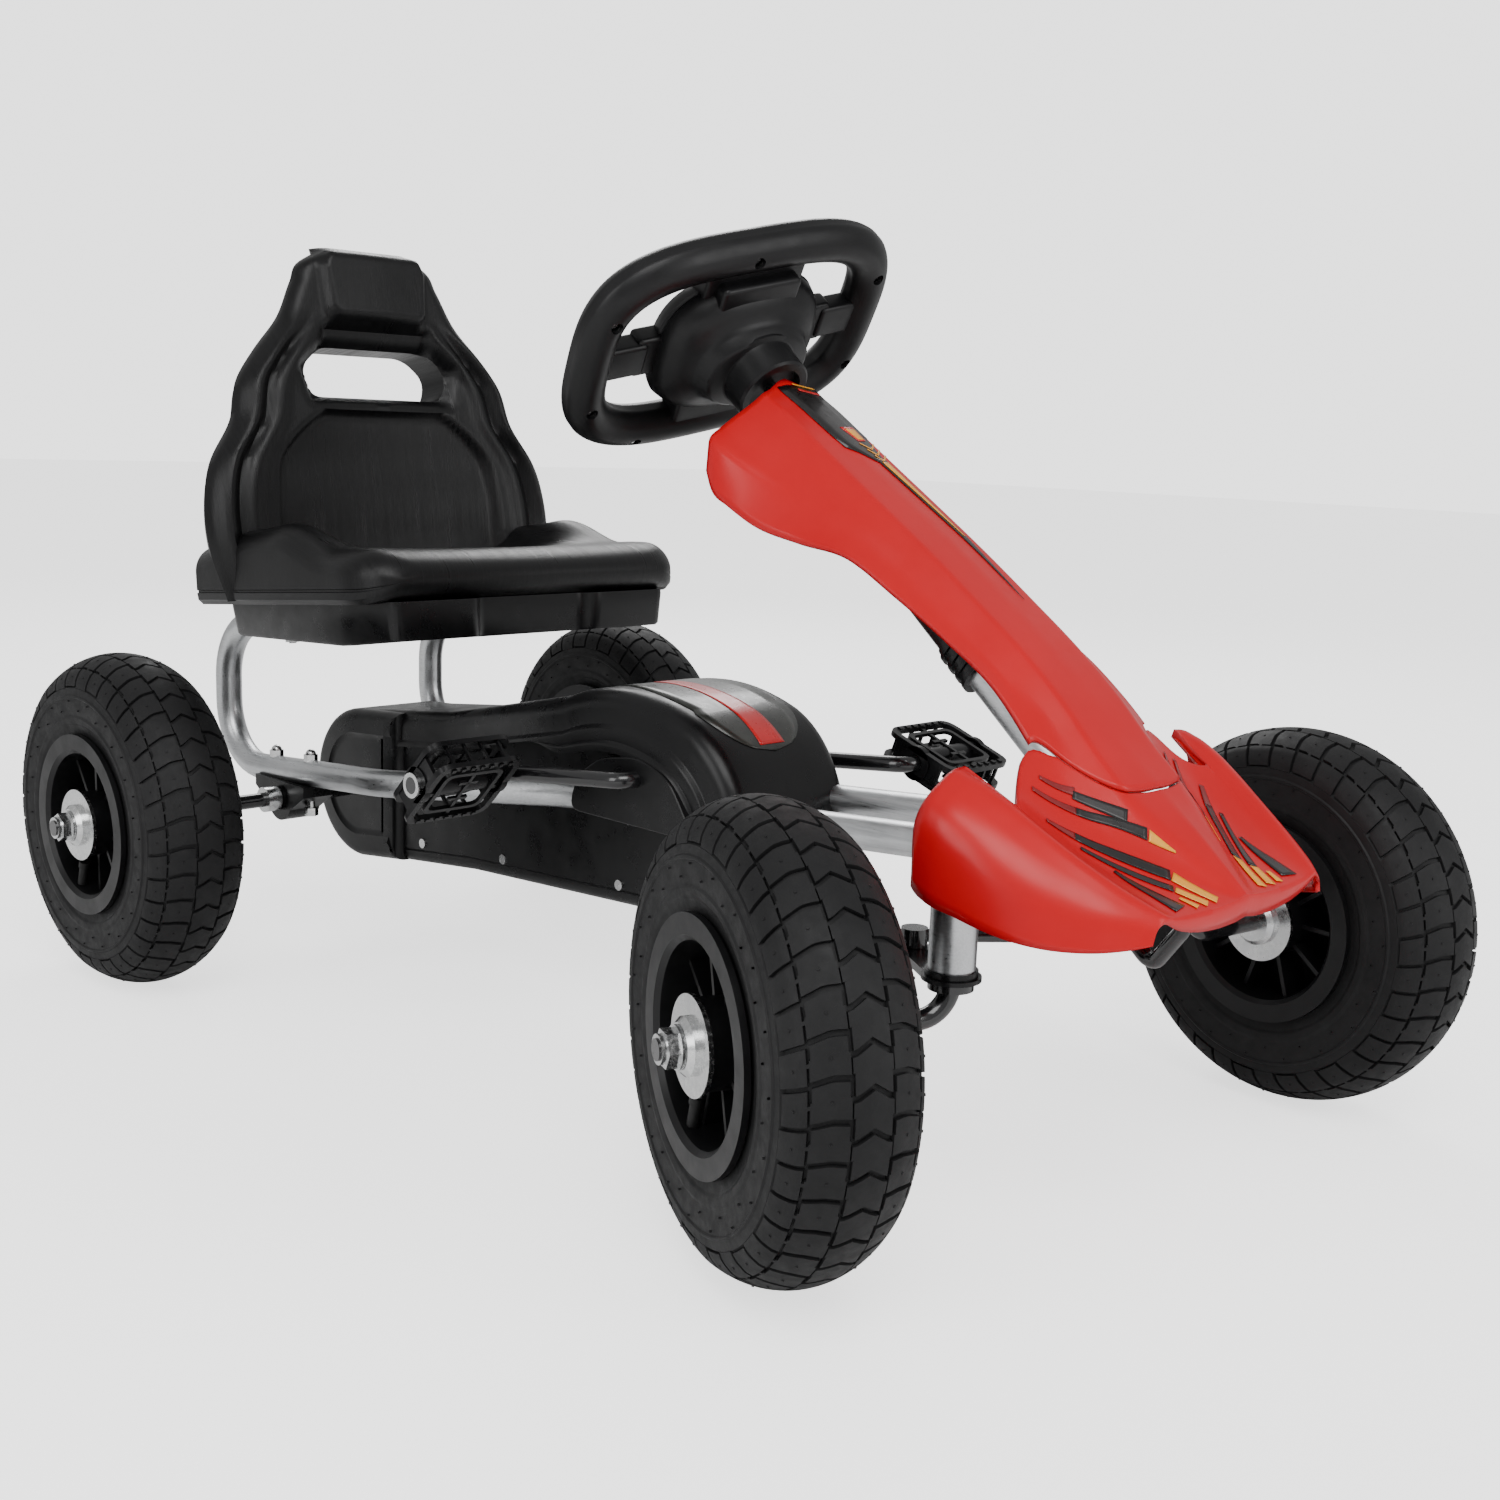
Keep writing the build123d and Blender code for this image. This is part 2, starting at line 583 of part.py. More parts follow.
with BuildPart() as pedal_caps:
    for centre, side in ((RIGHT_PEDAL, -1), (LEFT_PEDAL, 1)):
        ring(at(centre.X, centre.Y, centre.Z), SIDEWAYS * side, PEDAL_HALF + 0.6, PEDAL_HALF + 4, 9, CRANK_R)
save(pedal_caps, "pedal_caps")


def pitch_radius(teeth):
    return CHAIN_PITCH / 2 / sin(pi / teeth)


def make_sprocket(name, centre, teeth, bore):
    radius = pitch_radius(teeth) - 3.6
    with BuildPart() as sprocket:
        ring(centre, SIDEWAYS, -1.5, 1.5, radius, bore)
        ring(centre, SIDEWAYS, -9, 9, bore + 5, bore)
        with BuildSketch(Plane(origin=centre - SIDEWAYS * 4, z_dir=(0, 1, 0))):
            with PolarLocations(radius + 1.2, teeth):
                Circle(2.6)
            with PolarLocations(radius * 0.62, 5):
                Circle(radius * 0.17)
        extrude(amount=8, mode=Mode.SUBTRACT)
    save(sprocket, name)


make_sprocket("chain_wheel", at(CRANK_X, 0, CRANK_Z), FRONT_TEETH, CRANK_R)
make_sprocket("rear_sprocket", at(0, 0, TYRE_R), REAR_TEETH, AXLE_R)


def belt(grow):
    """Flat outline round both sprockets, grown by a little from the pitch line."""
    with BuildSketch(mode=Mode.PRIVATE) as outline:
        Circle(pitch_radius(REAR_TEETH) + grow)
        with Locations((CRANK_X, CRANK_Z - TYRE_R)):
            Circle(pitch_radius(FRONT_TEETH) + grow)
        make_hull(outline.sketch.edges())
    return outline.sketch


with BuildPart() as chain:
    with BuildSketch(Plane(origin=at(0, 4, TYRE_R), x_dir=(1, 0, 0), z_dir=(0, -1, 0))):
        add(belt(3))
        add(belt(-3), mode=Mode.SUBTRACT)
    extrude(amount=8)
save(chain, "chain")

# ---------------------------------------------------------------- crank brackets
BRACKET_Y = RAIL_Y_FRONT
with BuildPart() as crank_brackets:
    for side in (-1, 1):
        y = side * BRACKET_Y
        with BuildSketch(side_plane(y + 11)):
            with Locations((CRANK_X - 13, CRANK_Z - 3)):
                Rectangle(62, 26)
            with Locations((CRANK_X, CRANK_Z)):
                Circle(9, mode=Mode.SUBTRACT)
        extrude(amount=22)
        with BuildSketch(Plane(origin=at(250, y, rail_z(250)), z_dir=(1, 0, RAIL_SLOPE))):
            Circle(RAIL_R)
        extrude(amount=260, mode=Mode.SUBTRACT)
        bolt_holes(side)
save(crank_brackets, "crank_brackets")

with BuildPart() as bearing_bushes:
    for side in (-1, 1):
        ring(at(0, side * RAIL_Y_BACK, TYRE_R), SIDEWAYS, -BRACKET_HALF - 1.5, BRACKET_HALF + 1.5,
             10, AXLE_R + RUN_GAP)
        ring(at(CRANK_X, side * BRACKET_Y, CRANK_Z), SIDEWAYS, -12, 12, 9, CRANK_R + RUN_GAP)
save(bearing_bushes, "bearing_bushes")

with BuildPart() as bracket_bolts:
    for side in (-1, 1):
        for x in (-BOLT_X, BOLT_X):
            top = rail_z(x) + RAIL_R
            foot = at(x, side * RAIL_Y_BACK, 0)
            hexagon(foot, UP, top - 1, top + 5, 10)
            with Locations(foot + UP * (top + 5)):
                Sphere(4.4)
            hexagon(foot, UP, 118, 124.6, 10)
            with BuildSketch(Plane(origin=at(-60, side * RAIL_Y_BACK, rail_z(-60)),
                                   z_dir=(1, 0, RAIL_SLOPE))):
                Circle(RAIL_R)
            extrude(amount=120, mode=Mode.SUBTRACT)
            ring(foot, UP, 118, top + 2, BOLT_R)
        foot = at(CRANK_BOLT_X, side * BRACKET_Y, 0)
        under = rail_z(CRANK_BOLT_X) - RAIL_R
        hexagon(foot, UP, under - 5, under - 0.6, 10)
        hexagon(foot, UP, CRANK_Z + 10, CRANK_Z + 14, 10)
        ring(foot, UP, under - 6, CRANK_Z + 10, BOLT_R)
save(bracket_bolts, "bracket_bolts")

# ---------------------------------------------------------------- chain case
CASE_R = 64.5
CASE_C = 133.5


def case_view(shrink, x0=-100.0, x1=600.0, z0=0.0):
    """Side view of the case, or the part of it inside the limits, shrunk all round."""
    with BuildSketch(mode=Mode.PRIVATE) as view:
        with BuildLine():
            Polyline((0, CASE_C + CASE_R), (122, 212), (294, 249))
            ThreePointArc((294, 249), (372, 262), (428, 250))
            ThreePointArc((428, 250), (464, 221), (482, 178))
            ThreePointArc((482, 178), (444, 123), (359, 98))
            Polyline((359, 98), (157, 86), (0, CASE_C - CASE_R))
            ThreePointArc((0, CASE_C - CASE_R), (-CASE_R, CASE_C), (0, CASE_C + CASE_R))
        make_face()
        if shrink:
            offset(amount=-shrink, kind=Kind.ARC, mode=Mode.REPLACE)
        with Locations(((x0 + x1) / 2, (z0 + 400) / 2)):
            Rectangle(x1 - x0, 400 - z0, mode=Mode.INTERSECT)
    return view.sketch


DOME_BACK = 286.0
DOME_LOW = 180.0
CASE_STEPS = [
    (CASE_HALF, -100, 600, 0),
    (CASE_REAR_HALF, -100, 62, 0),
    (CASE_DOME_HALF, DOME_BACK, 600, DOME_LOW),
]
for name, side in (("right", -1), ("left", 1)):
    out = -side
    with BuildPart() as case:
        for half, x0, x1, z0 in CASE_STEPS:
            with BuildSketch(side_plane(0)):
                add(case_view(0, x0, x1, z0))
            extrude(amount=out * half)
        for half, x0, x1, z0 in CASE_STEPS:
            back = x0 + CASE_WALL if x0 > 0 else x0
            front = x1 - CASE_WALL if x1 < 100 else x1
            low = z0 + CASE_WALL if z0 > 0 else 0
            with BuildSketch(side_plane(0)):
                add(case_view(CASE_WALL, back, front, low))
            extrude(amount=out * (half - CASE_WALL), mode=Mode.SUBTRACT)
        rail_clear = Plane(origin=at(200, side * RAIL_Y_FRONT, rail_z(200)), z_dir=(1, 0, RAIL_SLOPE))
        with BuildSketch(rail_clear):
            Circle(RAIL_R + 1)
        extrude(amount=500, mode=Mode.SUBTRACT)
        bend_y = side * (RAIL_Y_FRONT + 2)
        with BuildSketch(Plane(origin=at(280, bend_y, rail_z(280)), z_dir=(1, 0, RAIL_SLOPE))):
            SlotOverall(30, 2 * RAIL_R + 4)
        extrude(amount=36, mode=Mode.SUBTRACT)
        with BuildSketch(Plane(origin=at(CRANK_X, side * 20, CRANK_Z), z_dir=(0, side, 0))):
            Circle(12)
        extrude(amount=60, mode=Mode.SUBTRACT)
        with BuildSketch(Plane(origin=at(0, side * 20, TYRE_R), z_dir=(0, side, 0))):
            Circle(12)
        extrude(amount=60, mode=Mode.SUBTRACT)
    save(case, f"case_{name}")

with BuildPart() as case_screws:
    for x, z in ((90, 96), (200, 104), (340, 112), (100, 194), (230, 218)):
        ring(at(x, 0, z), SIDEWAYS * -1, CASE_HALF, CASE_HALF + 1.5, 4)
save(case_screws, "case_screws")

# ---------------------------------------------------------------- seat
PAN_HALF = 121.0
with BuildPart() as seat_base:
    with BuildSketch(seat_side):
        with BuildLine():
            Polyline((10, 4), (10, -17), (70, -26), (190, -26), (262, -14), (262, 4), close=True)
        make_face()
    extrude(amount=PAN_HALF, both=True)
    with BuildSketch(seat_side):
        with BuildLine():
            Polyline((0, 0), (0, -60), (300, -60), (300, 0), close=True)
        make_face()
    extrude(amount=PAN_HALF - 2.5, both=True, mode=Mode.SUBTRACT)
    for side in (-1, 1):
        seat_bolt_holes(side)
save(seat_base, "seat_base")

BACK_TILT = 10.0
BACK_THICK = 46.0
SEAT_WALL = 3.5
SEAT_HALF = 158.0
back_plane = Plane(origin=at(8, 0, 290), x_dir=(0, 1, 0),
                   z_dir=(cos(radians(BACK_TILT)), 0, sin(radians(BACK_TILT))))
SEAT_OUTLINE = [(160, 12), (171, 50), (172, 83), (163, 121), (142, 154), (130, 190), (112, 214),
                (89, 240), (71, 272), (60, 289), (40, 298)]
OPENING_OUTLINE = [(66, 178), (72, 200), (50, 219), (-50, 219), (-72, 200), (-66, 178)]
CUSHION_OUTLINE = [(2, 4.5), (252, 4.5), (259, 20), (244, 42), (190, 50), (60, 38), (2, 60)]


def back_view(shrink):
    """The seat back as seen from the front, with its opening, shrunk by the wall."""
    low, high = SEAT_OUTLINE[0][1] + shrink, SEAT_OUTLINE[-1][1] - shrink
    half = [(v - shrink, min(max(s, low), high)) for v, s in SEAT_OUTLINE]
    with BuildSketch(mode=Mode.PRIVATE) as view:
        with BuildLine():
            if shrink:
                Polyline(*half, *[(-v, s) for v, s in half[::-1]], close=True)
            else:
                edge = Spline(*half)
                far = Spline(*[(-v, s) for v, s in half])
                Line(edge @ 1, far @ 1)
                Line(edge @ 0, far @ 0)
        make_face()
        with BuildSketch(mode=Mode.PRIVATE) as opening:
            with BuildLine():
                Polyline(*OPENING_OUTLINE, close=True)
            make_face()
            if shrink:
                offset(amount=shrink, kind=Kind.INTERSECTION, mode=Mode.REPLACE)
            else:
                fillet(opening.vertices(), 9)
        add(opening.sketch, mode=Mode.SUBTRACT)
    return view.sketch


def cushion_view(shrink):
    with BuildSketch(mode=Mode.PRIVATE) as view:
        with BuildLine():
            Polyline(*CUSHION_OUTLINE, close=True)
        make_face()
        if shrink:
            offset(amount=-shrink, kind=Kind.INTERSECTION, mode=Mode.REPLACE)
    return view.sketch


def seat_shape(shrink):
    """The closed seat, or the space inside its wall."""
    with BuildPart(mode=Mode.PRIVATE) as shape:
        with BuildSketch(back_plane.offset(-shrink)) as back:
            add(back_view(shrink))
        extrude(back.sketch, amount=2 * shrink - BACK_THICK)
        with BuildSketch(seat_side) as cushion:
            add(cushion_view(shrink))
        extrude(cushion.sketch, amount=SEAT_HALF - shrink, both=True)
    return shape.part


with BuildPart() as seat:
    add(seat_shape(0))
    add(seat_shape(SEAT_WALL), mode=Mode.SUBTRACT)
    with BuildSketch(Plane(origin=at(100, 0, 250))):
        Circle(4)  # moulding vent under the cushion
    extrude(amount=55, mode=Mode.SUBTRACT)
save(seat, "seat")

with BuildPart() as seat_bolts:
    for side in (-1, 1):
        for along in SEAT_BOLTS:
            foot = seat_side.from_local_coords((along, 0, 0)) + SIDEWAYS * side * RAIL_Y_BACK
            ring(foot, seat_side.y_dir, -28, 4.2, BOLT_R)
            hexagon(foot, seat_side.y_dir, -27, -22.2, 10)
save(seat_bolts, "seat_bolts")

# ---------------------------------------------------------------- fairings
SKIN = 3.0


def skin_section(x, points):
    """Closed strip, the same left and right, that follows points given for the left half."""
    lower = [(y - SKIN * 0.7, z - SKIN) for y, z in points[:-1]]
    lower.append((points[-1][0] - SKIN, points[-1][1]))
    left = list(points) + lower[::-1]
    right = [(-y, z) for y, z in lower] + [(-y, z) for y, z in points[::-1]]
    with BuildSketch(cross_plane(x), mode=Mode.PRIVATE) as section:
        with BuildLine():
            Polyline(*left, *right, close=True)
        make_face()
    return section.sketch


UPPER_SECTIONS = {
    460: [(28, 474), (58, 443), (78, 424)],
    500: [(28, 450), (51, 427), (74, 392)],
    545: [(28, 421), (43, 407), (62, 376)],
    600: [(28, 384), (37, 371), (50, 350)],
    650: [(28, 348), (37, 336), (52, 320)],
    700: [(29, 309), (39, 299), (56, 290)],
    728: [(30, 284), (40, 274), (54, 262)],
}
with BuildPart() as upper_fairing:
    loft([skin_section(x, points) for x, points in UPPER_SECTIONS.items()], ruled=True)
save(upper_fairing, "upper_fairing")

NOSE_SECTIONS = {
    729: [(30, 283), (42, 270), (66, 250), (104, 259), (115, 260), (143, 244), (148, 196)],
    745: [(30, 268), (42, 254), (64, 240), (100, 248), (111, 251), (139, 236), (145, 192)],
    770: [(27, 243), (36, 232), (60, 224), (94, 232), (105, 238), (132, 222), (138, 187)],
    800: [(20, 217), (30, 208), (52, 206), (84, 210), (97, 217), (112, 206), (116, 185)],
    825: [(4, 205), (20, 202), (44, 202), (70, 205), (84, 208), (88, 201), (90, 191)],
}
FENDER_SECTIONS = {
    702: [(119, 262), (142, 247), (147, 211)],
    712: [(118, 268), (145, 252), (149, 201)],
    729: [(115, 260), (143, 244), (148, 196)],
}
with BuildPart() as nose_fairing:
    loft([skin_section(x, points) for x, points in NOSE_SECTIONS.items()], ruled=True)
    for side in (-1, 1):
        strips = []
        for x, points in FENDER_SECTIONS.items():
            inner = [(y - SKIN * 0.8, z - SKIN * 0.8) for y, z in points]
            with BuildSketch(cross_plane(x), mode=Mode.PRIVATE) as strip:
                with BuildLine():
                    Polyline(*[(side * y, z) for y, z in points + inner[::-1]], close=True)
                make_face()
            strips.append(strip.sketch)
        loft(strips, ruled=True)
save(nose_fairing, "nose_fairing")
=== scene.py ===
import json
from math import atan2, cos, pi, radians, sin

import bmesh
import bpy
import numpy as np
from mathutils import Matrix, Vector


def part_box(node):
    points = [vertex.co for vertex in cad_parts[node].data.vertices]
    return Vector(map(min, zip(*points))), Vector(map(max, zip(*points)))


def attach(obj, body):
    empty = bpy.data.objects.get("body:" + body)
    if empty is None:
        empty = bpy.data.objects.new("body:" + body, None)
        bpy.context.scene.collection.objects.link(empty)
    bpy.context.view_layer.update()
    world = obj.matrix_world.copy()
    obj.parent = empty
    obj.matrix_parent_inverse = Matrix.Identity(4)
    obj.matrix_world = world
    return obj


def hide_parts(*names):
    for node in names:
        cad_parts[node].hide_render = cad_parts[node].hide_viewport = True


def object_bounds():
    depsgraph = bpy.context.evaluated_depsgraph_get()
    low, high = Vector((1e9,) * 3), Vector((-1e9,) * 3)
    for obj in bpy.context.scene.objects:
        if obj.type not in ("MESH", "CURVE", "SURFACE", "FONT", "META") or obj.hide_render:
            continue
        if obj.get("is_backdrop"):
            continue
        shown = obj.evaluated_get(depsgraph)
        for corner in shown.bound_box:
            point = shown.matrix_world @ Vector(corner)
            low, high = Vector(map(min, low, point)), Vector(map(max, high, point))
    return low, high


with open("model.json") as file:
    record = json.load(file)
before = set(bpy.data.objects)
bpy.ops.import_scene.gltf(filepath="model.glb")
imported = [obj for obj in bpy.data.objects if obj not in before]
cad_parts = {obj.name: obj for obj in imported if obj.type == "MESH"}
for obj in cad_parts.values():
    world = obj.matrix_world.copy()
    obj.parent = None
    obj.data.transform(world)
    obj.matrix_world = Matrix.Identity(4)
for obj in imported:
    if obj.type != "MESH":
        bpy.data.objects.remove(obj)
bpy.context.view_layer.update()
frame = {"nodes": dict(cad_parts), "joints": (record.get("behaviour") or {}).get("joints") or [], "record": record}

# Kart coordinates are millimetres from the ground under the rear axle, +X forward and +Y to the
# driver's left. Most pieces are made in them, and to_frame() moves them to the record's frame.
axle_low, axle_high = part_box("rear_axle")
AXLE_X = (axle_low.x + axle_high.x) / 2 * 1000
JOINTS = {j["name"]: j for j in frame["joints"]}


def to_frame(points):
    points = np.asarray(points, float).copy()
    points[..., 0] += AXLE_X
    return points / 1000


# ---------------------------------------------------------------- materials
class Tree:
    """A material's nodes, made one after another."""

    def __init__(self, name):
        self.material = bpy.data.materials.new(name)
        self.material.use_nodes = True
        self.nodes = self.material.node_tree.nodes
        self.links = self.material.node_tree.links
        self.shader = self.nodes["Principled BSDF"]
        self.place = self.add("ShaderNodeTexCoord").outputs["Object"]

    def add(self, kind, **values):
        node = self.nodes.new(kind)
        for key, value in values.items():
            setattr(node, key, value)
        return node

    def link(self, a, b):
        self.links.new(a, b)

    def noise(self, scale, detail=3.0, stretch=None, rough=0.55):
        node = self.add("ShaderNodeTexNoise")
        node.inputs["Scale"].default_value = scale
        node.inputs["Detail"].default_value = detail
        node.inputs["Roughness"].default_value = rough
        place = self.place
        if stretch:
            mapping = self.add("ShaderNodeMapping")
            mapping.inputs["Scale"].default_value = stretch
            self.link(self.place, mapping.inputs["Vector"])
            place = mapping.outputs["Vector"]
        self.link(place, node.inputs["Vector"])
        return node.outputs["Fac"]

    def span(self, value, low, high, start=0.3, end=0.7):
        node = self.add("ShaderNodeMapRange")
        node.inputs["From Min"].default_value = start
        node.inputs["From Max"].default_value = end
        node.inputs["To Min"].default_value = low
        node.inputs["To Max"].default_value = high
        self.link(value, node.inputs["Value"])
        return node.outputs["Result"]

    def ramp(self, value, *stops):
        node = self.add("ShaderNodeValToRGB")
        ramp = node.color_ramp
        while len(ramp.elements) < len(stops):
            ramp.elements.new(0.5)
        for element, (place, colour) in zip(ramp.elements, stops):
            element.position = place
            element.color = (*colour, 1)
        self.link(value, node.inputs["Fac"])
        return node.outputs["Color"]

    def bump(self, value, strength, distance):
        node = self.add("ShaderNodeBump")
        node.inputs["Strength"].default_value = strength
        node.inputs["Distance"].default_value = distance
        self.link(value, node.inputs["Height"])
        last = self.shader.inputs["Normal"]
        if last.is_linked:
            self.link(last.links[0].from_socket, node.inputs["Normal"])
        self.link(node.outputs["Normal"], last)

    def finish(self, colour=None, rough=None, metallic=0.0, coat=0.0, coat_rough=0.1, specular=0.5):
        if colour is not None:
            self.link(colour, self.shader.inputs["Base Color"])
        if rough is not None:
            self.link(rough, self.shader.inputs["Roughness"])
        self.shader.inputs["Metallic"].default_value = metallic
        self.shader.inputs["Coat Weight"].default_value = coat
        self.shader.inputs["Coat Roughness"].default_value = coat_rough
        self.shader.inputs["Specular IOR Level"].default_value = specular
        return self.material


def clouded(name, dark, light, rough, cloud, patches, bumps, worn=0.04, **shader):
    """A material with cloudy colour, patchy roughness and bumps of (scale, detail, strength, depth)."""
    t = Tree(name)
    colour = t.ramp(t.noise(*cloud[0]), (cloud[1], dark), (cloud[2], light))
    rough_out = t.span(t.noise(*patches), rough - worn, rough + max(0.08, worn + 0.02))
    for scale, detail, strength, depth in bumps:
        t.bump(t.noise(scale, detail), strength, depth)
    return t.finish(colour, rough_out, **shader)


def plastic_material(name, dark, light, rough, grain):
    """Moulded plastic: fine pitted grain, soft cloudy sheen and a few rubbed patches."""
    return clouded(name, dark, light, rough, ((14, 4), 0.25, 0.8), (60, 5),
                   ((1400, 2, grain, 0.0002), (35, 3, 0.12, 0.0008)), 0.06, coat_rough=0.12, specular=0.3)


def seat_material():
    """Black seat plastic with a fine upright grain, worn lighter along its streaks."""
    t = Tree("seat_plastic")
    streak = t.noise(1, 5, (40, 1500, 26), 0.7)
    wide = t.noise(1, 3, (12, 260, 9), 0.6)
    colour = t.ramp(streak, (0.35, (0.0022, 0.0022, 0.0025)), (0.62, (0.0048, 0.0048, 0.0052)),
                    (0.8, (0.018, 0.018, 0.019)))
    rough_out = t.span(wide, 0.26, 0.42)
    t.bump(streak, 0.35, 0.0006)
    t.bump(t.noise(900, 2), 0.15, 0.0002)
    return t.finish(colour, rough_out, specular=0.3)


def rubber_material(name, dark, light, rough):
    """Tyre rubber: dull, dusty in patches, with a fine moulded skin."""
    return clouded(name, dark, light, rough, ((18, 6, None, 0.65), 0.3, 0.75), (120, 4),
                   ((2200, 2, 0.35, 0.0002), (160, 4, 0.25, 0.0005)), 0.08, specular=0.22)


def steel_material(name, dark, light, low, high, stretch):
    """Bare or plated steel, with fine drawn lines along the stretch and cloudy brightness."""
    t = Tree(name)
    lines = t.noise(1, 4, stretch, 0.6)
    cloud = t.noise(30, 4)
    mix = t.add("ShaderNodeMath", operation="MULTIPLY_ADD")
    t.link(cloud, mix.inputs[0])
    mix.inputs[1].default_value = 0.5
    half = t.add("ShaderNodeMath", operation="MULTIPLY")
    half.inputs[1].default_value = 0.5
    t.link(lines, half.inputs[0])
    t.link(half.outputs[0], mix.inputs[2])
    colour = t.ramp(mix.outputs[0], (0.3, dark), (0.7, light))
    rough_out = t.span(lines, low, high)
    t.bump(lines, 0.06, 0.0002)
    return t.finish(colour, rough_out, metallic=1.0)


def painted_material(name, dark, light, rough, coat):
    """Powder coat: slight orange peel under a clear skin."""
    return clouded(name, dark, light, rough, ((25, 4), 0.3, 0.7), (90, 4), ((420, 2, 0.12, 0.0003),),
                   coat=coat, coat_rough=0.08)


def red_material():
    """Glossy red moulded shell: even colour, faint flow clouds and a very slight ripple."""
    t = Tree("red_plastic")
    colour = t.ramp(t.noise(9, 4), (0.2, (0.50, 0.0, 0.004)), (0.8, (0.60, 0.0, 0.006)))
    rough_out = t.span(t.noise(70, 4), 0.30, 0.38)
    t.bump(t.noise(16, 2), 0.04, 0.0010)
    return t.finish(colour, rough_out, coat=0.12, coat_rough=0.2, specular=0.3)


def ink_material(name, dark, light):
    """Printed film: slightly uneven ink under gloss."""
    return clouded(name, dark, light, 0.3, ((60, 4), 0.3, 0.7), (200, 3), ((900, 2, 0.05, 0.0001),),
                   0.05, coat=0.3)


SEAT = seat_material()
TYRE = rubber_material("tyre_rubber", (0.007, 0.007, 0.0075), (0.016, 0.016, 0.0165), 0.55)
VALVE = rubber_material("valve_rubber", (0.006, 0.006, 0.006), (0.012, 0.012, 0.012), 0.45)
BLACK = plastic_material("black_plastic", (0.003, 0.003, 0.0033), (0.006, 0.006, 0.0065), 0.30, 0.12)
WHEEL_BLACK = plastic_material("wheel_plastic", (0.003, 0.003, 0.0035), (0.007, 0.007, 0.0075), 0.36, 0.15)
GRIP = plastic_material("grip_plastic", (0.0035, 0.0035, 0.004), (0.007, 0.007, 0.0075), 0.36, 0.2)
PEDAL = plastic_material("pedal_plastic", (0.002, 0.002, 0.0025), (0.006, 0.006, 0.0065), 0.30, 0.15)
RED = red_material()
TUBE = steel_material("galvanised_tube", (0.44, 0.45, 0.46), (0.74, 0.75, 0.76), 0.26, 0.42, (30, 900, 900))
ZINC = steel_material("bright_zinc", (0.50, 0.51, 0.52), (0.86, 0.86, 0.85), 0.14, 0.32, (300, 300, 300))
CHAIN = steel_material("chain_steel", (0.12, 0.11, 0.10), (0.35, 0.33, 0.30), 0.3, 0.5, (500, 200, 500))
PAINT = painted_material("black_paint", (0.004, 0.004, 0.0045), (0.010, 0.010, 0.011), 0.2, 0.6)

SLOT_MATERIALS = {
    "tyre_rubber": TYRE, "tube_rubber": TYRE, "wheel_plastic": WHEEL_BLACK, "zinc_steel": ZINC,
    "valve_brass": VALVE, "galvanised_tube": TUBE, "black_steel": PAINT, "black_plastic": BLACK,
    "red_plastic": RED, "chain_steel": CHAIN}
for part in frame["record"]["subparts"]:
    node = frame["nodes"][part["node"]]
    node.data.materials.clear()
    node.data.materials.append(SLOT_MATERIALS[part["material_slot"]])


# ---------------------------------------------------------------- mesh helpers
def grid_faces(rows, columns, close_rows=False, close_columns=False):
    faces = []
    for i in range(rows if close_rows else rows - 1):
        for j in range(columns if close_columns else columns - 1):
            a, b = i % rows, (i + 1) % rows
            c, d = j % columns, (j + 1) % columns
            faces.append((a * columns + c, b * columns + c, b * columns + d, a * columns + d))
    return faces


def capped(rings, columns):
    """Faces of a stack of closed rings, with a cap on the first and on the last."""
    end = rings * columns
    return grid_faces(rings, columns, False, True) + [
        tuple(range(columns)), tuple(range(end - columns, end))[::-1]]


def placed(name, data):
    """A new object in the scene."""
    made = bpy.data.objects.new(name, data)
    bpy.context.scene.collection.objects.link(made)
    return made


def smooth_mesh(name, points, faces, material, sharp, weld=True):
    """A mesh with its faces turned outwards, shaded smooth up to the sharp angle."""
    mesh = bpy.data.meshes.new(name)
    mesh.from_pydata([tuple(p) for p in points], [], [tuple(f) for f in faces])
    cleaner = bmesh.new()
    cleaner.from_mesh(mesh)
    if weld:
        bmesh.ops.remove_doubles(cleaner, verts=cleaner.verts, dist=1e-6)
    bmesh.ops.recalc_face_normals(cleaner, faces=cleaner.faces)
    cleaner.to_mesh(mesh)
    cleaner.free()
    for polygon in mesh.polygons:
        polygon.use_smooth = True
    mesh.set_sharp_from_angle(angle=radians(sharp))
    mesh.materials.append(material)
    return mesh


def new_piece(name, points, faces, material, body="frame", slot="black_plastic", replaced=(), sharp=35):
    """A mesh piece from kart coordinates that rides on a body."""
    piece = placed(name, smooth_mesh(name, to_frame(points), faces, material, sharp))
    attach(piece, body)
    if replaced:
        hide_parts(*replaced)
    return piece


def bevel(piece, width):
    modifier = piece.modifiers.new("edges", "BEVEL")
    modifier.width = width / 1000
    modifier.segments = 3
    modifier.limit_method = "ANGLE"
    modifier.angle_limit = radians(35)
    modifier.harden_normals = True


def shell(piece, thickness, side=-1.0):
    """Gives a skin its wall, on its inner side (-1) or its outer side (1)."""
    modifier = piece.modifiers.new("wall", "SOLIDIFY")
    modifier.thickness = thickness / 1000
    modifier.offset = side
    modifier.use_even_offset = True


def cut(piece, cutter):
    """Takes cutter out of piece, and removes the cutter."""
    modifier = piece.modifiers.new("cut", "BOOLEAN")
    modifier.operation = "DIFFERENCE"
    modifier.solver = "EXACT"
    modifier.object = cutter
    graph = bpy.context.evaluated_depsgraph_get()
    made = bpy.data.meshes.new_from_object(piece.evaluated_get(graph))
    piece.modifiers.clear()
    piece.data = made
    for polygon in made.polygons:
        polygon.use_smooth = True
    bpy.data.objects.remove(cutter)


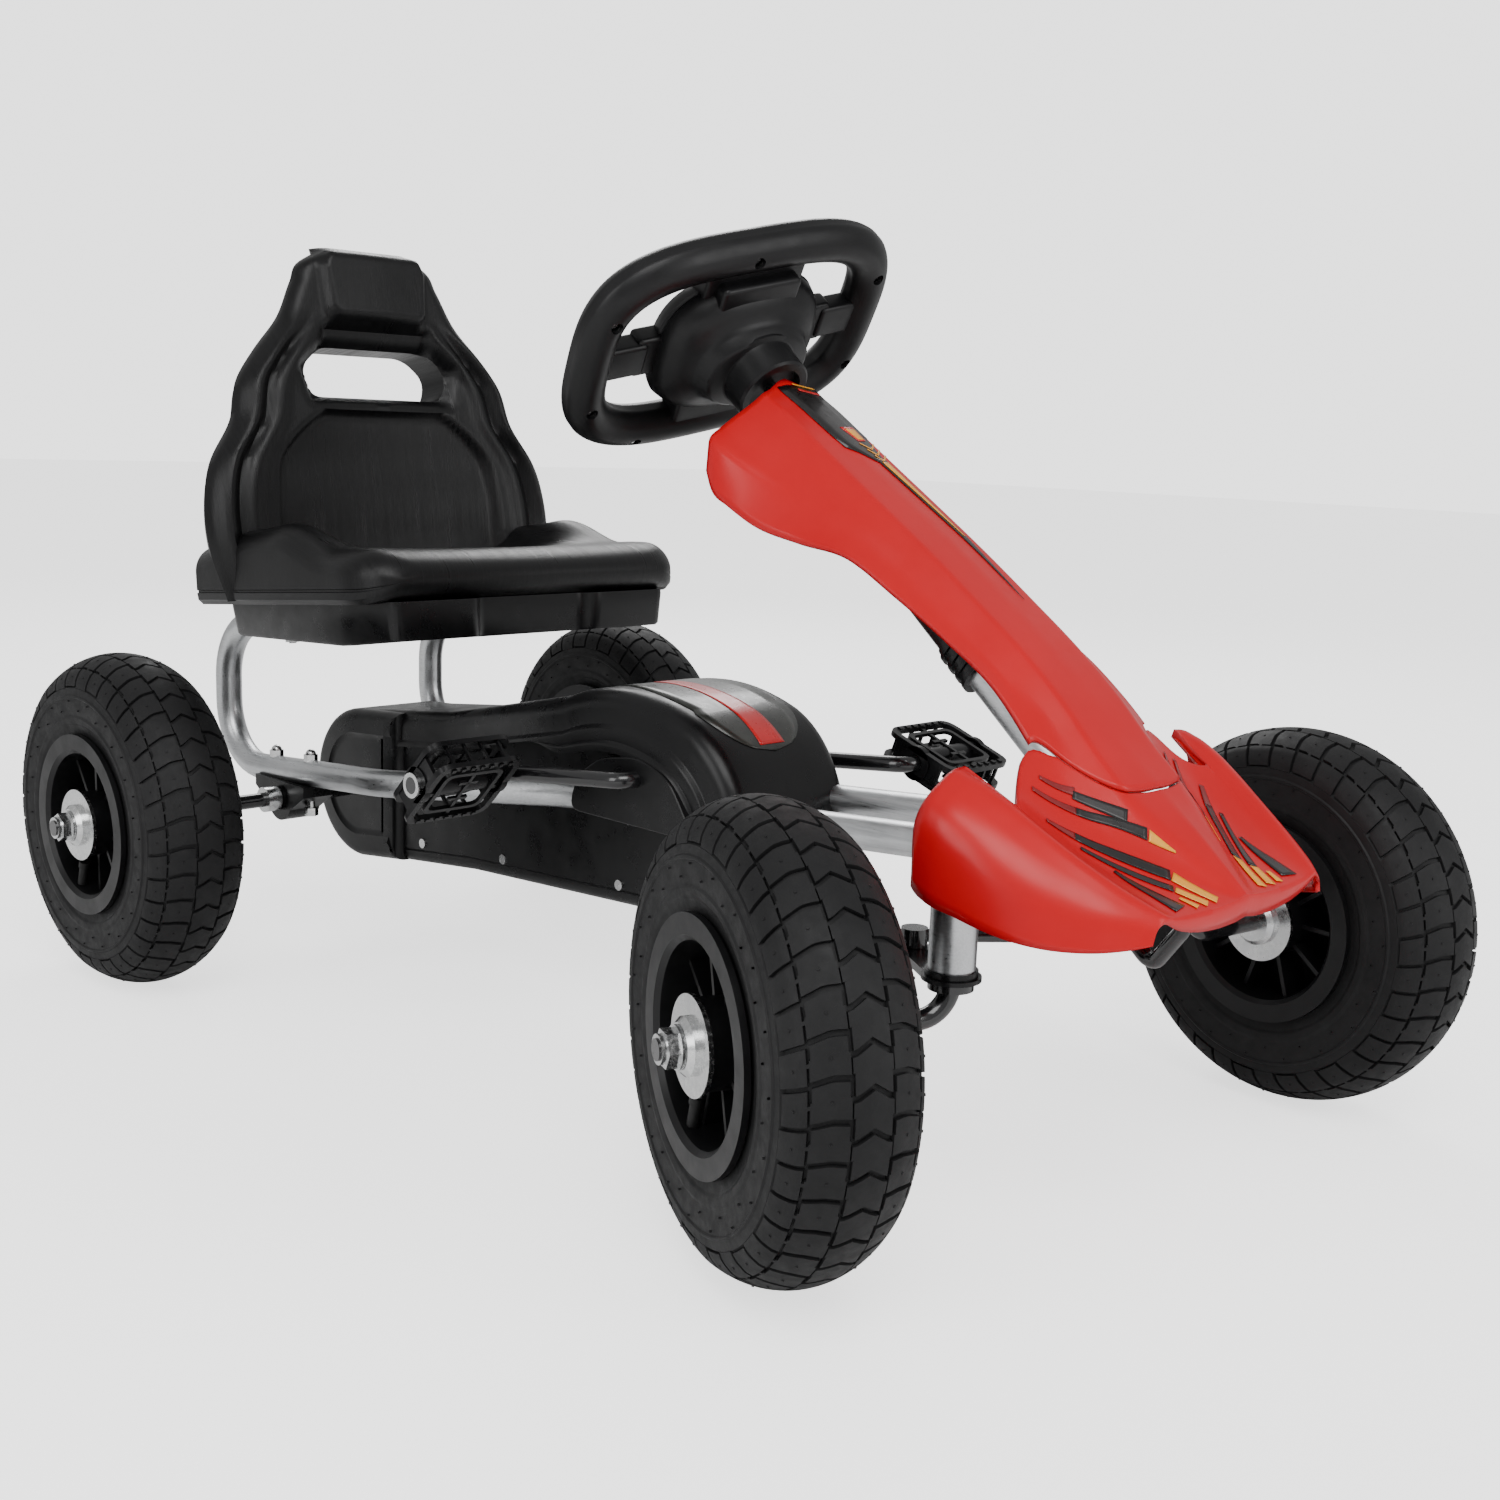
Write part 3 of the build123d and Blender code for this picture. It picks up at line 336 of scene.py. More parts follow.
def smooth_curve(xs, rows):
    """A function that runs smoothly through the rows given at xs."""
    xs = np.asarray(xs, float)
    rows = np.asarray(rows, float)
    slopes = np.gradient(rows, xs, axis=0)

    def value(x):
        x = min(max(x, xs[0]), xs[-1])
        i = min(np.searchsorted(xs, x, side="right") - 1, len(xs) - 2)
        h = xs[i + 1] - xs[i]
        t = (x - xs[i]) / h
        a = 2 * t ** 3 - 3 * t ** 2 + 1
        b = t ** 3 - 2 * t ** 2 + t
        c = -2 * t ** 3 + 3 * t ** 2
        d = t ** 3 - t ** 2
        return a * rows[i] + b * h * slopes[i] + c * rows[i + 1] + d * h * slopes[i + 1]

    return value


def rounded_line(points, radii):
    """Points along an open line whose inner corners are rounded; always the same number."""
    straight, turn = 5, 5
    points = [np.asarray(p, float) for p in points]
    made = []
    last = points[0]
    for i in range(1, len(points) - 1):
        p, before, after = points[i], points[i] - points[i - 1], points[i + 1] - points[i]
        room = min(radii[i - 1], 0.45 * np.linalg.norm(before), 0.45 * np.linalg.norm(after))
        start = p - before / max(np.linalg.norm(before), 1e-6) * room
        end = p + after / max(np.linalg.norm(after), 1e-6) * room
        for k in range(straight):
            made.append(last + (start - last) * k / straight)
        for k in range(turn):
            t = k / turn
            made.append(start * (1 - t) ** 2 + 2 * p * t * (1 - t) + end * t ** 2)
        last = end
    for k in range(straight + 1):
        made.append(last + (points[-1] - last) * k / straight)
    return np.array(made)


def ease(t):
    t = np.clip(t, 0.0, 1.0)
    return t * t * (3 - 2 * t)


# ---------------------------------------------------------------- wheels
TYRE_R, CROWN_R, SHOULDER_T, SHOULDER_R = 130.0, 48.385, 33.0, 117.0
TREAD_DEPTH = 2.4
PITCHES = 38


def tyre_profile():
    """(t, r) points of the tyre from the middle of its crown down to its bead."""
    half = np.arcsin(SHOULDER_T / CROWN_R)
    turn = np.linspace(0, half, 30)
    crown = np.stack([CROWN_R * np.sin(turn), TYRE_R - CROWN_R + CROWN_R * np.cos(turn)], 1)
    down = smooth_curve(range(6), [(SHOULDER_T, SHOULDER_R), (37, 109.5), (38.6, 99), (38.4, 88), (37, 78),
                                   (35.5, 71)])
    wall = np.array([down(t) for t in np.linspace(0, 5, 40)[1:]])
    return np.vstack([crown, wall])


PROFILE = tyre_profile()
STEPS = np.r_[0, np.cumsum(np.linalg.norm(np.diff(PROFILE, axis=0), axis=1))]
PROFILE_TURN = np.gradient(PROFILE, STEPS, axis=0)


def on_tyre(w, lift=0.0):
    """(t, r) at distance w from the middle of the tread, measured round the tyre, lifted."""
    side, far = (1 if w >= 0 else -1), abs(w)
    t, r = np.interp(far, STEPS, PROFILE[:, 0]), np.interp(far, STEPS, PROFILE[:, 1])
    dt, dr = np.interp(far, STEPS, PROFILE_TURN[:, 0]), np.interp(far, STEPS, PROFILE_TURN[:, 1])
    size = (dt * dt + dr * dr) ** 0.5
    return side * (t - dr / size * lift), r + dt / size * lift


def wheel_point(tr, turn):
    """A point about a wheel whose axle is Y, from its (t, r) and the turn of the wheel."""
    t, r = tr
    return (r * cos(turn), t, r * sin(turn))


def tread_block(w0, w1, turn0, turn1, edge, rows, columns):
    """Points and faces of one raised block; edge(w) shifts its ends round the wheel."""
    draft = 0.35  # the block's walls lean out by this much down to the carcass
    points = []
    ws = np.linspace(w0, w1, columns)
    us = np.linspace(0, 1, rows)
    for u in us:
        for w in ws:
            turn = turn0 + (turn1 - turn0) * u + edge(w)
            points.append(wheel_point(on_tyre(w), turn))
    faces = grid_faces(rows, columns)
    rim = list(range(columns)) + [i * columns + columns - 1 for i in range(1, rows)]
    rim += [(rows - 1) * columns + j for j in range(columns - 2, -1, -1)]
    rim += [i * columns for i in range(rows - 2, 0, -1)]
    start = len(points)
    grow = draft / TYRE_R
    for k in rim:
        i, j = divmod(k, columns)
        w = ws[j] + (draft if j == columns - 1 else -draft if j == 0 else 0)
        u = us[i]
        turn = turn0 + (turn1 - turn0) * u + edge(ws[j])
        turn += grow if i == rows - 1 else -grow if i == 0 else 0
        points.append(wheel_point(on_tyre(w, -TREAD_DEPTH - 0.3), turn))
    count = len(rim)
    for k in range(count):
        a, b = k, (k + 1) % count
        faces.append((rim[a], rim[b], start + b, start + a))
    return points, faces


def tyre_mesh():
    """The carcass, its blocks in three rows each side, and its moulding pips."""
    points, faces = [], []

    def take(made, fs):
        base = len(points)
        points.extend(made)
        faces.extend([tuple(base + i for i in f) for f in fs])

    # carcass, lower under the tread, with a raised band and a bead ring on each side wall
    far = STEPS[-1]
    ws = np.concatenate([np.linspace(-far, -50, 34), np.linspace(-49.2, 49.2, 43), np.linspace(50, far, 34)])
    around = 176
    ring = []
    for w in ws:
        a = abs(w)
        lift = -TREAD_DEPTH if a < 49 else 0.0
        lift += 0.9 * float(ease((a - 54) / 1.2) - ease((a - 56) / 1.2))
        lift += 0.8 * float(ease((a - 70) / 1.5) - ease((a - 76) / 2.0))
        ring.append(on_tyre(w, lift))
    inner = [(34.5, 63.0), (28.0, 63.0), (28.0, 72.0), (31.5, 92.0), (27.0, 112.0), (0.0, 123.5)]
    inside = [(t, r) for t, r in inner] + [(-t, r) for t, r in inner[-2::-1]]
    loop = ring + inside
    made = [wheel_point(tr, 2 * pi * k / around) for k in range(around) for tr in loop]
    take(made, grid_faces(around, len(loop), True, True))

    pitch = 2 * pi / PITCHES
    gap = 3.4 / TYRE_R

    def centre_edge(w):
        return -0.26 * pitch * min(1.0, abs(w) / 9.0)

    def middle_edge(w):
        a = (abs(w) - 12.0) / 20.0
        return pitch * (0.24 - 0.30 * max(0.0, a - 0.42) - 0.05 * max(0.0, 0.2 - a))

    def shoulder_edge(w):
        return pitch * (-0.02 - 0.16 * (abs(w) - 33.5) / 15.0)

    for k in range(PITCHES):
        t0 = k * pitch
        cut_at = t0 + 0.5 * pitch
        take(*tread_block(-9.8, 9.8, t0, cut_at, centre_edge, 4, 9))
        take(*tread_block(-10.6, 10.6, cut_at, t0 + pitch - gap, centre_edge, 4, 9))
        for side in (-1, 1):
            for w0, w1, turn0, turn1 in ((11.4, 31.2, t0, cut_at), (12.2, 30.4, cut_at, t0 + pitch - gap)):
                lo, hi = sorted((side * w0, side * w1))
                take(*tread_block(lo, hi, turn0, turn1, middle_edge, 4, 11))
            lo, hi = sorted((side * 32.6, side * (48.8 if k % 2 else 47.4)))
            take(*tread_block(lo, hi, t0, t0 + pitch - gap * 0.85, shoulder_edge, 4, 10))
            lo, hi = sorted((side * 31.2, side * 32.6))  # a bridge across the shoulder groove
            take(*tread_block(lo, hi, t0 + 0.34 * pitch, t0 + 0.44 * pitch, middle_edge, 2, 2))
    # moulding pips on the blocks and the side walls
    for k in range(PITCHES):
        for w, off in ((20.8, 0.62), (-20.8, 0.62), (40.0, 0.32), (-40.0, 0.32)):
            turn = (k + off) * pitch
            take(*pip(w, turn, 1.0, 0.5))
    for k in range(22):
        for w, off in ((59.0, 0.2), (66.0, 0.7), (-59.0, 0.2), (-66.0, 0.7)):
            take(*pip(w, (k + off) * 2 * pitch, 0.8, 1.3))
    return points, faces


def pip(w, turn, radius, height):
    """A small moulded stub standing on the tyre."""
    t, r = on_tyre(w)
    t2, r2 = on_tyre(w, height)
    side = 5
    foot = np.array(wheel_point((t, r), turn))
    top = np.array(wheel_point((t2, r2), turn))
    up = (top - foot) / np.linalg.norm(top - foot)
    across = np.array([-sin(turn), 0.0, cos(turn)])
    other = np.cross(up, across)
    points = []
    for centre, size in ((foot - up * 0.5, radius), (top, radius * 0.7)):
        for k in range(side):
            a = 2 * pi * k / side
            points.append(centre + (across * cos(a) + other * sin(a)) * size)
    faces = [(k, (k + 1) % side, side + (k + 1) % side, side + k) for k in range(side)]
    faces.append(tuple(range(side, 2 * side)))
    return points, faces


points, faces = tyre_mesh()
TREADED = smooth_mesh("tyre_tread", np.asarray(points) / 1000, faces, TYRE, 38, weld=False)
for tag, joint, body in (
        ("front_right", "right_front_wheel_spin", "right_front_wheel"),
        ("front_left", "left_front_wheel_spin", "left_front_wheel"),
        ("rear_right", None, "rear_axle_set"), ("rear_left", None, "rear_axle_set")):
    low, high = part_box(f"tyre_{tag}")
    centre = (low + high) / 2
    axis = Vector(JOINTS[joint]["axis"]) if joint else Vector((0, 1, 0))
    piece = placed(f"treaded_tyre_{tag}", TREADED)
    piece.matrix_world = Matrix.Translation(centre) @ Matrix.Rotation(atan2(-axis.x, axis.y), 4, "Z")
    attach(piece, body)
    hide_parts(f"tyre_{tag}")


# ---------------------------------------------------------------- seat
SEAT_TILT = atan2(0.09, 1)
RUN_X, RUN_Z = -60 - 11 * sin(SEAT_TILT), 276.6 - 60 * 0.09 + 11 * cos(SEAT_TILT)
BACK_TILT = radians(10)
SEAT_SIDE = smooth_curve(
    [0, 12, 50, 83, 121, 154, 190, 214, 240, 272, 289, 298],
    [[157], [160], [170], [171], [162], [141], [130], [112], [89], [72], [62], [46]])
OPENING = [(66, 176), (73, 200), (52, 219), (-52, 219), (-73, 200), (-66, 176)]


def back_place(y, s, n):
    """A point of the seat back: y across, s up the back, n out of its front."""
    return (8 + n * cos(BACK_TILT) - s * sin(BACK_TILT), y, 290 + n * sin(BACK_TILT) + s * cos(BACK_TILT))


def run_place(a, y, h):
    """A point on the cushion: a forward along the seat run, h above it."""
    c, s = cos(SEAT_TILT), sin(SEAT_TILT)
    return (RUN_X + a * c - h * s, y, RUN_Z + a * s + h * c)


def bump_at(x, centre, width):
    return np.exp(-((x - centre) / width) ** 2)


def outside(y, s, polygon):
    """Distance from a point to the outside of a polygon; negative inside it."""
    best, inside = 1e9, False
    for (y0, s0), (y1, s1) in zip(polygon, polygon[1:] + polygon[:1]):
        dy, ds = y1 - y0, s1 - s0
        t = min(1, max(0, ((y - y0) * dy + (s - s0) * ds) / (dy * dy + ds * ds)))
        best = min(best, ((y - y0 - t * dy) ** 2 + (s - s0 - t * ds) ** 2) ** 0.5)
        if (s0 > s) != (s1 > s) and y < (y1 - y0) * (s - s0) / (s1 - s0) + y0:
            inside = not inside
    return -best if inside else best


PANEL = smooth_curve([0, 48, 96, 128, 150, 166], [[118], [115], [112], [104], [82], [58]])
PAD = [(-42, 238), (42, 238), (50, 246), (53, 284), (46, 300), (-46, 300), (-53, 284), (-50, 246)]


def front_relief(y, s):
    """How far the front of the seat back stands out of its plane."""
    half = float(SEAT_SIDE(s)[0])
    edge = half - abs(y)
    lift = 0.0
    lower = float(1 - ease((s - 205) / 45))
    lift += 5.0 * lower * bump_at(edge, 13, 6.5)
    lift -= 3.5 * lower * bump_at(edge, 25, 4.5)
    lift += 3.5 * lower * bump_at(edge, 36, 7)
    if s < 168:
        wide = float(PANEL(s)[0])
        inner = ease((wide - abs(y)) / 9.0) * ease((167 - s) / 8.0)
        lift -= 9.0 * inner
        lift += inner * (1.6 * sin(s / 11.0) * 0.5 + 3.0 * (y / max(wide, 1)) ** 2)
    pad = outside(y, s, PAD)
    lift += 9.0 * float(ease((2.0 - pad) / 9.0))
    lift += 1.5 * bump_at(y, 0, 30) * float(ease(-pad / 6.0)) if pad < 0 else 0.0
    gap = outside(y, s, OPENING)
    lift -= 10.0 * (1 - min(1.0, max(0.0, gap) / 13.0)) ** 2
    if 214 < s < 242 and abs(y) < 62:  # hollow under the head pad
        lift -= 7.0 * float(ease((60 - abs(y)) / 12) * ease((s - 212) / 8) * (1 - ease((s - 232) / 6)))
    return lift


def seat_back():
    rows, half_columns = 96, 42
    q = np.sin(np.linspace(-pi / 2, pi / 2, 2 * half_columns + 1))
    q = 0.55 * q + 0.45 * np.linspace(-1, 1, 2 * half_columns + 1)
    ss = 8 + 295 * (0.35 * (1 - np.cos(np.linspace(0, pi, rows))) / 2 + 0.65 * np.linspace(0, 1, rows))
    front, rear = [], []
    for s in ss:
        half = float(SEAT_SIDE(s)[0])
        for x in q:
            y = x * half
            side = half - abs(y)
            top = ss[-1] - s
            bottom = s - ss[0]
            drop = 0.0
            for room, radius in ((side, 15.0), (top, 13.0)):
                if room < radius:
                    drop += radius - (radius ** 2 - (radius - room) ** 2) ** 0.5
            drop = min(drop, 22.0)
            front.append(back_place(y, s, front_relief(y, s) - drop))
            inset = 0.0
            if side < 10:
                inset = 10 - (100 - (10 - side) ** 2) ** 0.5
            if top < 10:
                inset = max(inset, 10 - (100 - (10 - top) ** 2) ** 0.5)
            back = -46 + inset + 2.5 * float(ease((half - 30 - abs(y)) / 10) * ease((bottom - 25) / 12)
                                             * ease((top - 25) / 12))
            shrink = (half - 12.0) / half
            rear.append(back_place(y * shrink, s - 8.0 * float(ease((s - 230) / 68)), back))
    columns = len(q)
    points = front + rear
    base = len(front)
    faces = grid_faces(rows, columns)
    faces += [tuple(base + i for i in f[::-1]) for f in grid_faces(rows, columns)]
    for i in range(rows - 1):
        for j in (0, columns - 1):
            a, b = i * columns + j, (i + 1) * columns + j
            faces.append((a, b, base + b, base + a))
    for j in range(columns - 1):
        for i in (0, rows - 1):
            a, b = i * columns + j, i * columns + j + 1
            faces.append((a, b, base + b, base + a))
    return points, faces


def prism(outline, place, near, far):
    """A solid from an outline in the plane of place(a, b, ...), between two depths."""
    points = [place(a, b, near) for a, b in outline] + [place(a, b, far) for a, b in outline]
    count = len(outline)
    faces = [tuple(range(count)), tuple(range(2 * count - 1, count - 1, -1))]
    faces += [(k, (k + 1) % count, count + (k + 1) % count, count + k) for k in range(count)]
    return points, faces


def closed_round(outline, radius, steps=6):
    """A closed outline with all its corners rounded."""
    count = len(outline)
    made = []
    for i in range(count):
        p = np.asarray(outline[i], float)
        before, after = np.asarray(outline[i - 1], float) - p, np.asarray(outline[(i + 1) % count], float) - p
        room = min(radius, 0.45 * np.linalg.norm(before), 0.45 * np.linalg.norm(after))
        start, end = p + before / np.linalg.norm(before) * room, p + after / np.linalg.norm(after) * room
        for k in range(steps + 1):
            t = k / steps
            made.append(tuple(start * (1 - t) ** 2 + 2 * p * t * (1 - t) + end * t ** 2))
    return made


seat_piece = new_piece("seat_back_shell", *seat_back(), SEAT, replaced=["seat"])
hole = new_piece("seat_cutter", *prism(closed_round(OPENING, 14), back_place, 40, -80), SEAT)
cut(seat_piece, hole)
seat_piece.data.set_sharp_from_angle(angle=radians(40))


def seat_cushion():
    """The cushion as rings from its back to its front; each ring runs round the section."""
    length = smooth_curve([0, 60, 150, 215, 262], [[50], [42], [47], [49], [46]])
    rows, around, heart, edge_r = 72, 64, 24.0, 22
    points, count = [], None
    for a in 2 + 260 * np.sin(np.linspace(0, pi / 2, rows)):
        middle = float(length(a)[0])
        nose = min(1.0, max(0.0, (a - 232) / 30.0))
        round_off = (1 - nose ** 2) ** 0.5
        corner = min(1.0, max(0.0, (a - 212) / 50.0))
        half = 158.0 - 34.0 * (1 - (1 - corner ** 2.4) ** 0.5)
        low = heart - (heart - 6.0) * round_off
        wing = 25.0 * float(ease((a + 25) / 100) * (1 - ease((a - 120) / 80)))
        section = []
        for k in range(around + 1):
            y = half * sin(pi * (k / around - 0.5))
            side = abs(y) / half
            top = middle + wing * float(ease((side - 0.60) / 0.24)) - 3.0 * (1 - side ** 2)
            room = half - abs(y)
            if room < edge_r:
                top -= edge_r - (edge_r ** 2 - (edge_r - room) ** 2) ** 0.5
            top = heart + (top - heart) * round_off
            section.append((y, max(top, low)))
        edge = heart - 6 * round_off
        under = [(half, edge), (half - 1.3 * round_off, edge - 0.6 * round_off),
                 (half - 1.3 * round_off, edge - 2.0 * round_off), (half, edge - 2.6 * round_off),
                 (half - 0.8, low + 4 * round_off), (half - 5, low), (half - 60, low), (0, low)]
        section += under + [(-y, z) for y, z in under[-2::-1]]
        count = len(section)
        points += [run_place(a, y, h) for y, h in section]
    return points, capped(rows, count)


def seat_tray():
    """The black tray under the seat: a skirt all round the tubes with a stepped front."""
    plan = closed_round([(8, -133), (190, -138), (254, -136), (256, -60), (246, -52), (246, 52), (256, 60),
                         (254, 136), (190, 138), (8, 133)], 9, 4)
    plan = np.asarray(plan)
    inner = plan + (np.array([130.0, 0.0]) - plan) * 0.03
    drop = smooth_curve([0, 70, 190, 256], [[-19], [-26], [-26], [-22]])
    rings = [[(a, y, 7.5) for a, y in plan], [(a, y, 3.5) for a, y in plan],
             [(a, y, float(drop(a)[0]) + 2) for a, y in inner + (plan - inner) * 0.4],
             [(a, y, float(drop(a)[0])) for a, y in inner],
             [(a, y, float(drop(a)[0])) for a, y in inner + (np.array([130.0, 0.0]) - inner) * 0.02],
             [(a, y, 3.0) for a, y in inner + (np.array([130.0, 0.0]) - inner) * 0.025]]
    points = [run_place(a, y, h) for ring in rings for a, y, h in ring]
    count = len(plan)
    return points, capped(len(rings), count)


new_piece("seat_tray", *seat_tray(), BLACK, replaced=["seat_base"])
new_piece("seat_cushion_shell", *seat_cushion(), SEAT)

# ---------------------------------------------------------------- chain case
CASE_R, CASE_C = 64.5, 133.5


def arc3(a, b, c, steps):
    """Points along the circle through three points, without the last."""
    (ax, ay), (bx, by), (cx, cy) = a, b, c
    d = 2 * (ax * (by - cy) + bx * (cy - ay) + cx * (ay - by))
    a2, b2, c2 = ax ** 2 + ay ** 2, bx ** 2 + by ** 2, cx ** 2 + cy ** 2
    ux = (a2 * (by - cy) + b2 * (cy - ay) + c2 * (ay - by)) / d
    uy = (a2 * (cx - bx) + b2 * (ax - cx) + c2 * (bx - ax)) / d
    r = ((ax - ux) ** 2 + (ay - uy) ** 2) ** 0.5
    t0, t1, t2 = (atan2(y - uy, x - ux) for x, y in (a, b, c))
    span = (t2 - t0) % (2 * pi)
    if (t1 - t0) % (2 * pi) > span:
        span -= 2 * pi
    return [(ux + r * cos(t0 + span * k / steps), uy + r * sin(t0 + span * k / steps)) for k in range(steps)]


def run2(a, b, steps):
    """Points along a straight run, without its last."""
    return [(a[0] + (b[0] - a[0]) * k / steps, a[1] + (b[1] - a[1]) * k / steps) for k in range(steps)]


def dome_top():
    """The top line over the crank, from the rear down to the front."""
    points = arc3((294, 249), (372, 262), (428, 250), 20)
    points += arc3((428, 250), (464, 221), (482, 178), 16)
    return points


BODY = run2((0, CASE_C + CASE_R), (122, 212), 8) + run2((122, 212), (294, 247), 10)
BODY += [(x, z - 2) for x, z in dome_top()] + arc3((482, 178), (444, 123), (359, 98), 18)
BODY += run2((359, 98), (157, 86), 10) + run2((157, 86), (0, CASE_C - CASE_R), 8)
BODY += arc3((0, CASE_C - CASE_R), (-CASE_R, CASE_C), (0, CASE_C + CASE_R), 36)


def slab(outline, layers):
    """A solid symmetric about the kart's middle; layers are (inset, half width) from the edge in."""
    outline = np.asarray(outline, float)
    before, after = np.roll(outline, 1, 0), np.roll(outline, -1, 0)
    along = after - before
    along /= np.linalg.norm(along, axis=1)[:, None]
    inward = np.stack([along[:, 1], -along[:, 0]], 1)
    middle = outline.mean(0)
    if ((middle - outline) * inward).sum(1).mean() < 0:
        inward = -inward
    rings = []
    for inset, half in layers[::-1]:
        rings.append([(x, -half, z) for x, z in outline + inward * inset])
    for inset, half in layers:
        rings.append([(x, half, z) for x, z in outline + inward * inset])
    count = len(outline)
    points = [p for ring in rings for p in ring]
    return points, capped(len(rings), count)


def rolled(half, radius, inset=0.0):
    """Layers of a rolled edge that ends at the half width given."""
    return [(inset + radius * (1 - cos(a)), half - radius * (1 - sin(a))) for a in np.linspace(0, pi / 2, 6)]


new_piece("case_body", *slab(BODY, rolled(38, 7) + [(9.5, 38), (10.5, 37.2), (11.5, 38)]), BLACK,
          replaced=["case_right", "case_left"])
LOBE_R = CASE_R + 0.4
LOBE = run2((62, 203), (62, 76), 12) + run2((62, 76), (0, CASE_C - LOBE_R), 6)
LOBE += arc3((0, CASE_C - LOBE_R), (-LOBE_R, CASE_C), (0, CASE_C + LOBE_R), 40)
LOBE += run2((0, CASE_C + LOBE_R), (62, 203), 6)
new_piece("case_lobe", *slab(LOBE, rolled(45, 8) + [(20, 45.5), (23, 43.5), (26, 43.5)]), BLACK)
TOP_LINE = np.array(run2((58, 205), (122, 212), 10) + run2((122, 212), (294, 249), 24) + dome_top()
                    + [(482, 178)])
CRANK_BAY_X, CRANK_BAY_Z, REAR_BAY_Z = 286, 176.5, 150.0  # where the top cover's lower side lies


def top_width(x):
    """Half width of the case's top from end to end; widest over the crank."""
    return 40.0 + 21.0 * float(ease((x - 110) / 200)) - 3.0 * float(ease((x - 440) / 45))


def case_top():
    """The top cover: a rolled edge, then steps that stand further out towards the crank."""
    along = np.roll(TOP_LINE, -1, 0) - np.roll(TOP_LINE, 1, 0)
    along[0], along[-1] = TOP_LINE[1] - TOP_LINE[0], (12.0, -90.0)
    along /= np.linalg.norm(along, axis=1)[:, None]
    inward = np.stack([along[:, 1], -along[:, 0]], 1)
    points = []
    for (x, z), n in zip(TOP_LINE, inward):
        wide, hump = top_width(x), float(ease((x - 250) / 60))
        deep = 30 + 14 * hump
        section = [(0, 0.0), (0, wide * 0.45)]
        section += [(14 * (1 - cos(a)), wide - 14 * (1 - sin(a))) for a in np.linspace(0, pi / 2, 7)]
        section += [(24, wide + 0.6), (25.5, wide + 1.2), (27, wide + 3.4), (29, wide + 4.2)]
        step = wide + 4.2
        section += [(30 + 6 * hump, step + 0.6 * hump), (30 + 8 * hump, step + 2.8 * hump),
                    (30 + 10 * hump, step + 3.4 * hump), (deep, step + 3.6 * hump), (deep, 34), (deep, 0)]
        floor_z = CRANK_BAY_Z if x > CRANK_BAY_X else REAR_BAY_Z
        whole = [(d, -y) for d, y in section[::-1][:-1]] + section
        for d, y in whole[:-1]:
            px, pz = x + n[0] * d, z + n[1] * d
            if x > CRANK_BAY_X:
                px = max(px, CRANK_BAY_X - 2.0)
            points.append((px, y, max(pz, floor_z)))
    count = len(whole) - 1
    return points, capped(len(TOP_LINE), count)


new_piece("case_top", *case_top(), BLACK)


def top_strip(start, end, left, right, lift):
    """A film on the case's top from one place along it to another, lifted off it."""
    steps = 40
    far = np.r_[0, np.cumsum(np.linalg.norm(np.diff(TOP_LINE, axis=0), axis=1))]
    points = []
    across = 8
    for k in range(steps + 1):
        u = k / steps
        d = start + (end - start) * u
        x, z = np.interp(d, far, TOP_LINE[:, 0]), np.interp(d, far, TOP_LINE[:, 1])
        x2, z2 = np.interp(d + 1, far, TOP_LINE[:, 0]), np.interp(d + 1, far, TOP_LINE[:, 1])
        n = np.array([-(z2 - z), x2 - x])
        n /= np.linalg.norm(n)
        for j in range(across + 1):
            y = left(u) + (right(u) - left(u)) * j / across
            points.append((x + n[0] * lift, y, z + n[1] * lift))
    return points, grid_faces(steps + 1, across + 1)


def film(name, points, faces, material, slot="black_plastic"):
    """A printed film: a thin sheet with a little thickness."""
    piece = new_piece(name, points, faces, material, "frame", slot)
    shell(piece, 0.25, 1.0)
    return piece


PANEL_INK = ink_material("panel_ink", (0.010, 0.011, 0.009), (0.035, 0.038, 0.032))
RED_INK = ink_material("red_ink", (0.55, 0.006, 0.008), (0.66, 0.012, 0.014))
BLACK_INK = ink_material("black_ink", (0.004, 0.003, 0.003), (0.008, 0.006, 0.006))
FADE_INK = ink_material("fade_ink", (0.16, 0.004, 0.005), (0.24, 0.006, 0.008))
GOLD_INK = ink_material("gold_ink", (0.80, 0.30, 0.010), (0.90, 0.40, 0.020))


def lens(u):
    """Half width of the panel along its length."""
    if u < 0.75:
        return 44.0 * sin(pi * min(1.0, 0.04 + u * 0.80)) ** 0.8
    return 44.0 * (1 - ((u - 0.75) / 0.25) ** 2) ** 0.5


film("case_panel", *top_strip(236, 416, lambda u: -lens(u), lens, 0.35), PANEL_INK)
film("case_stripe", *top_strip(286, 410, lambda u: -7 - 5 * u, lambda u: 7 + 5 * u, 0.75), RED_INK)

GUARD = closed_round(
    [(318, 170), (326, 196), (352, 214), (392, 220), (424, 210), (440, 188), (452, 170)], 12, 4)
for side, tag in ((-1, "right"), (1, "left")):
    def guard_place(x, z, y, side=side):
        return (x, side * y, z)
    piece = new_piece(f"crank_guard_{tag}", *prism(GUARD, guard_place, 60, 70.5), BLACK)
    bevel(piece, 1.5)

# ---------------------------------------------------------------- steering wheel
COLUMN = radians(40.5)
DOWN = np.array([cos(COLUMN), 0, -sin(COLUMN)])
HUB = np.array([398.0, 0.0, 512.0])
TURN = radians(17)


def spin(v, a):
    """A direction turned about the steering column."""
    return v * cos(a) + np.cross(DOWN, v) * sin(a)


RIGHT = spin(np.array([0.0, -1.0, 0.0]), TURN)
ABOVE = spin(np.array([sin(COLUMN), 0, cos(COLUMN)]), TURN)


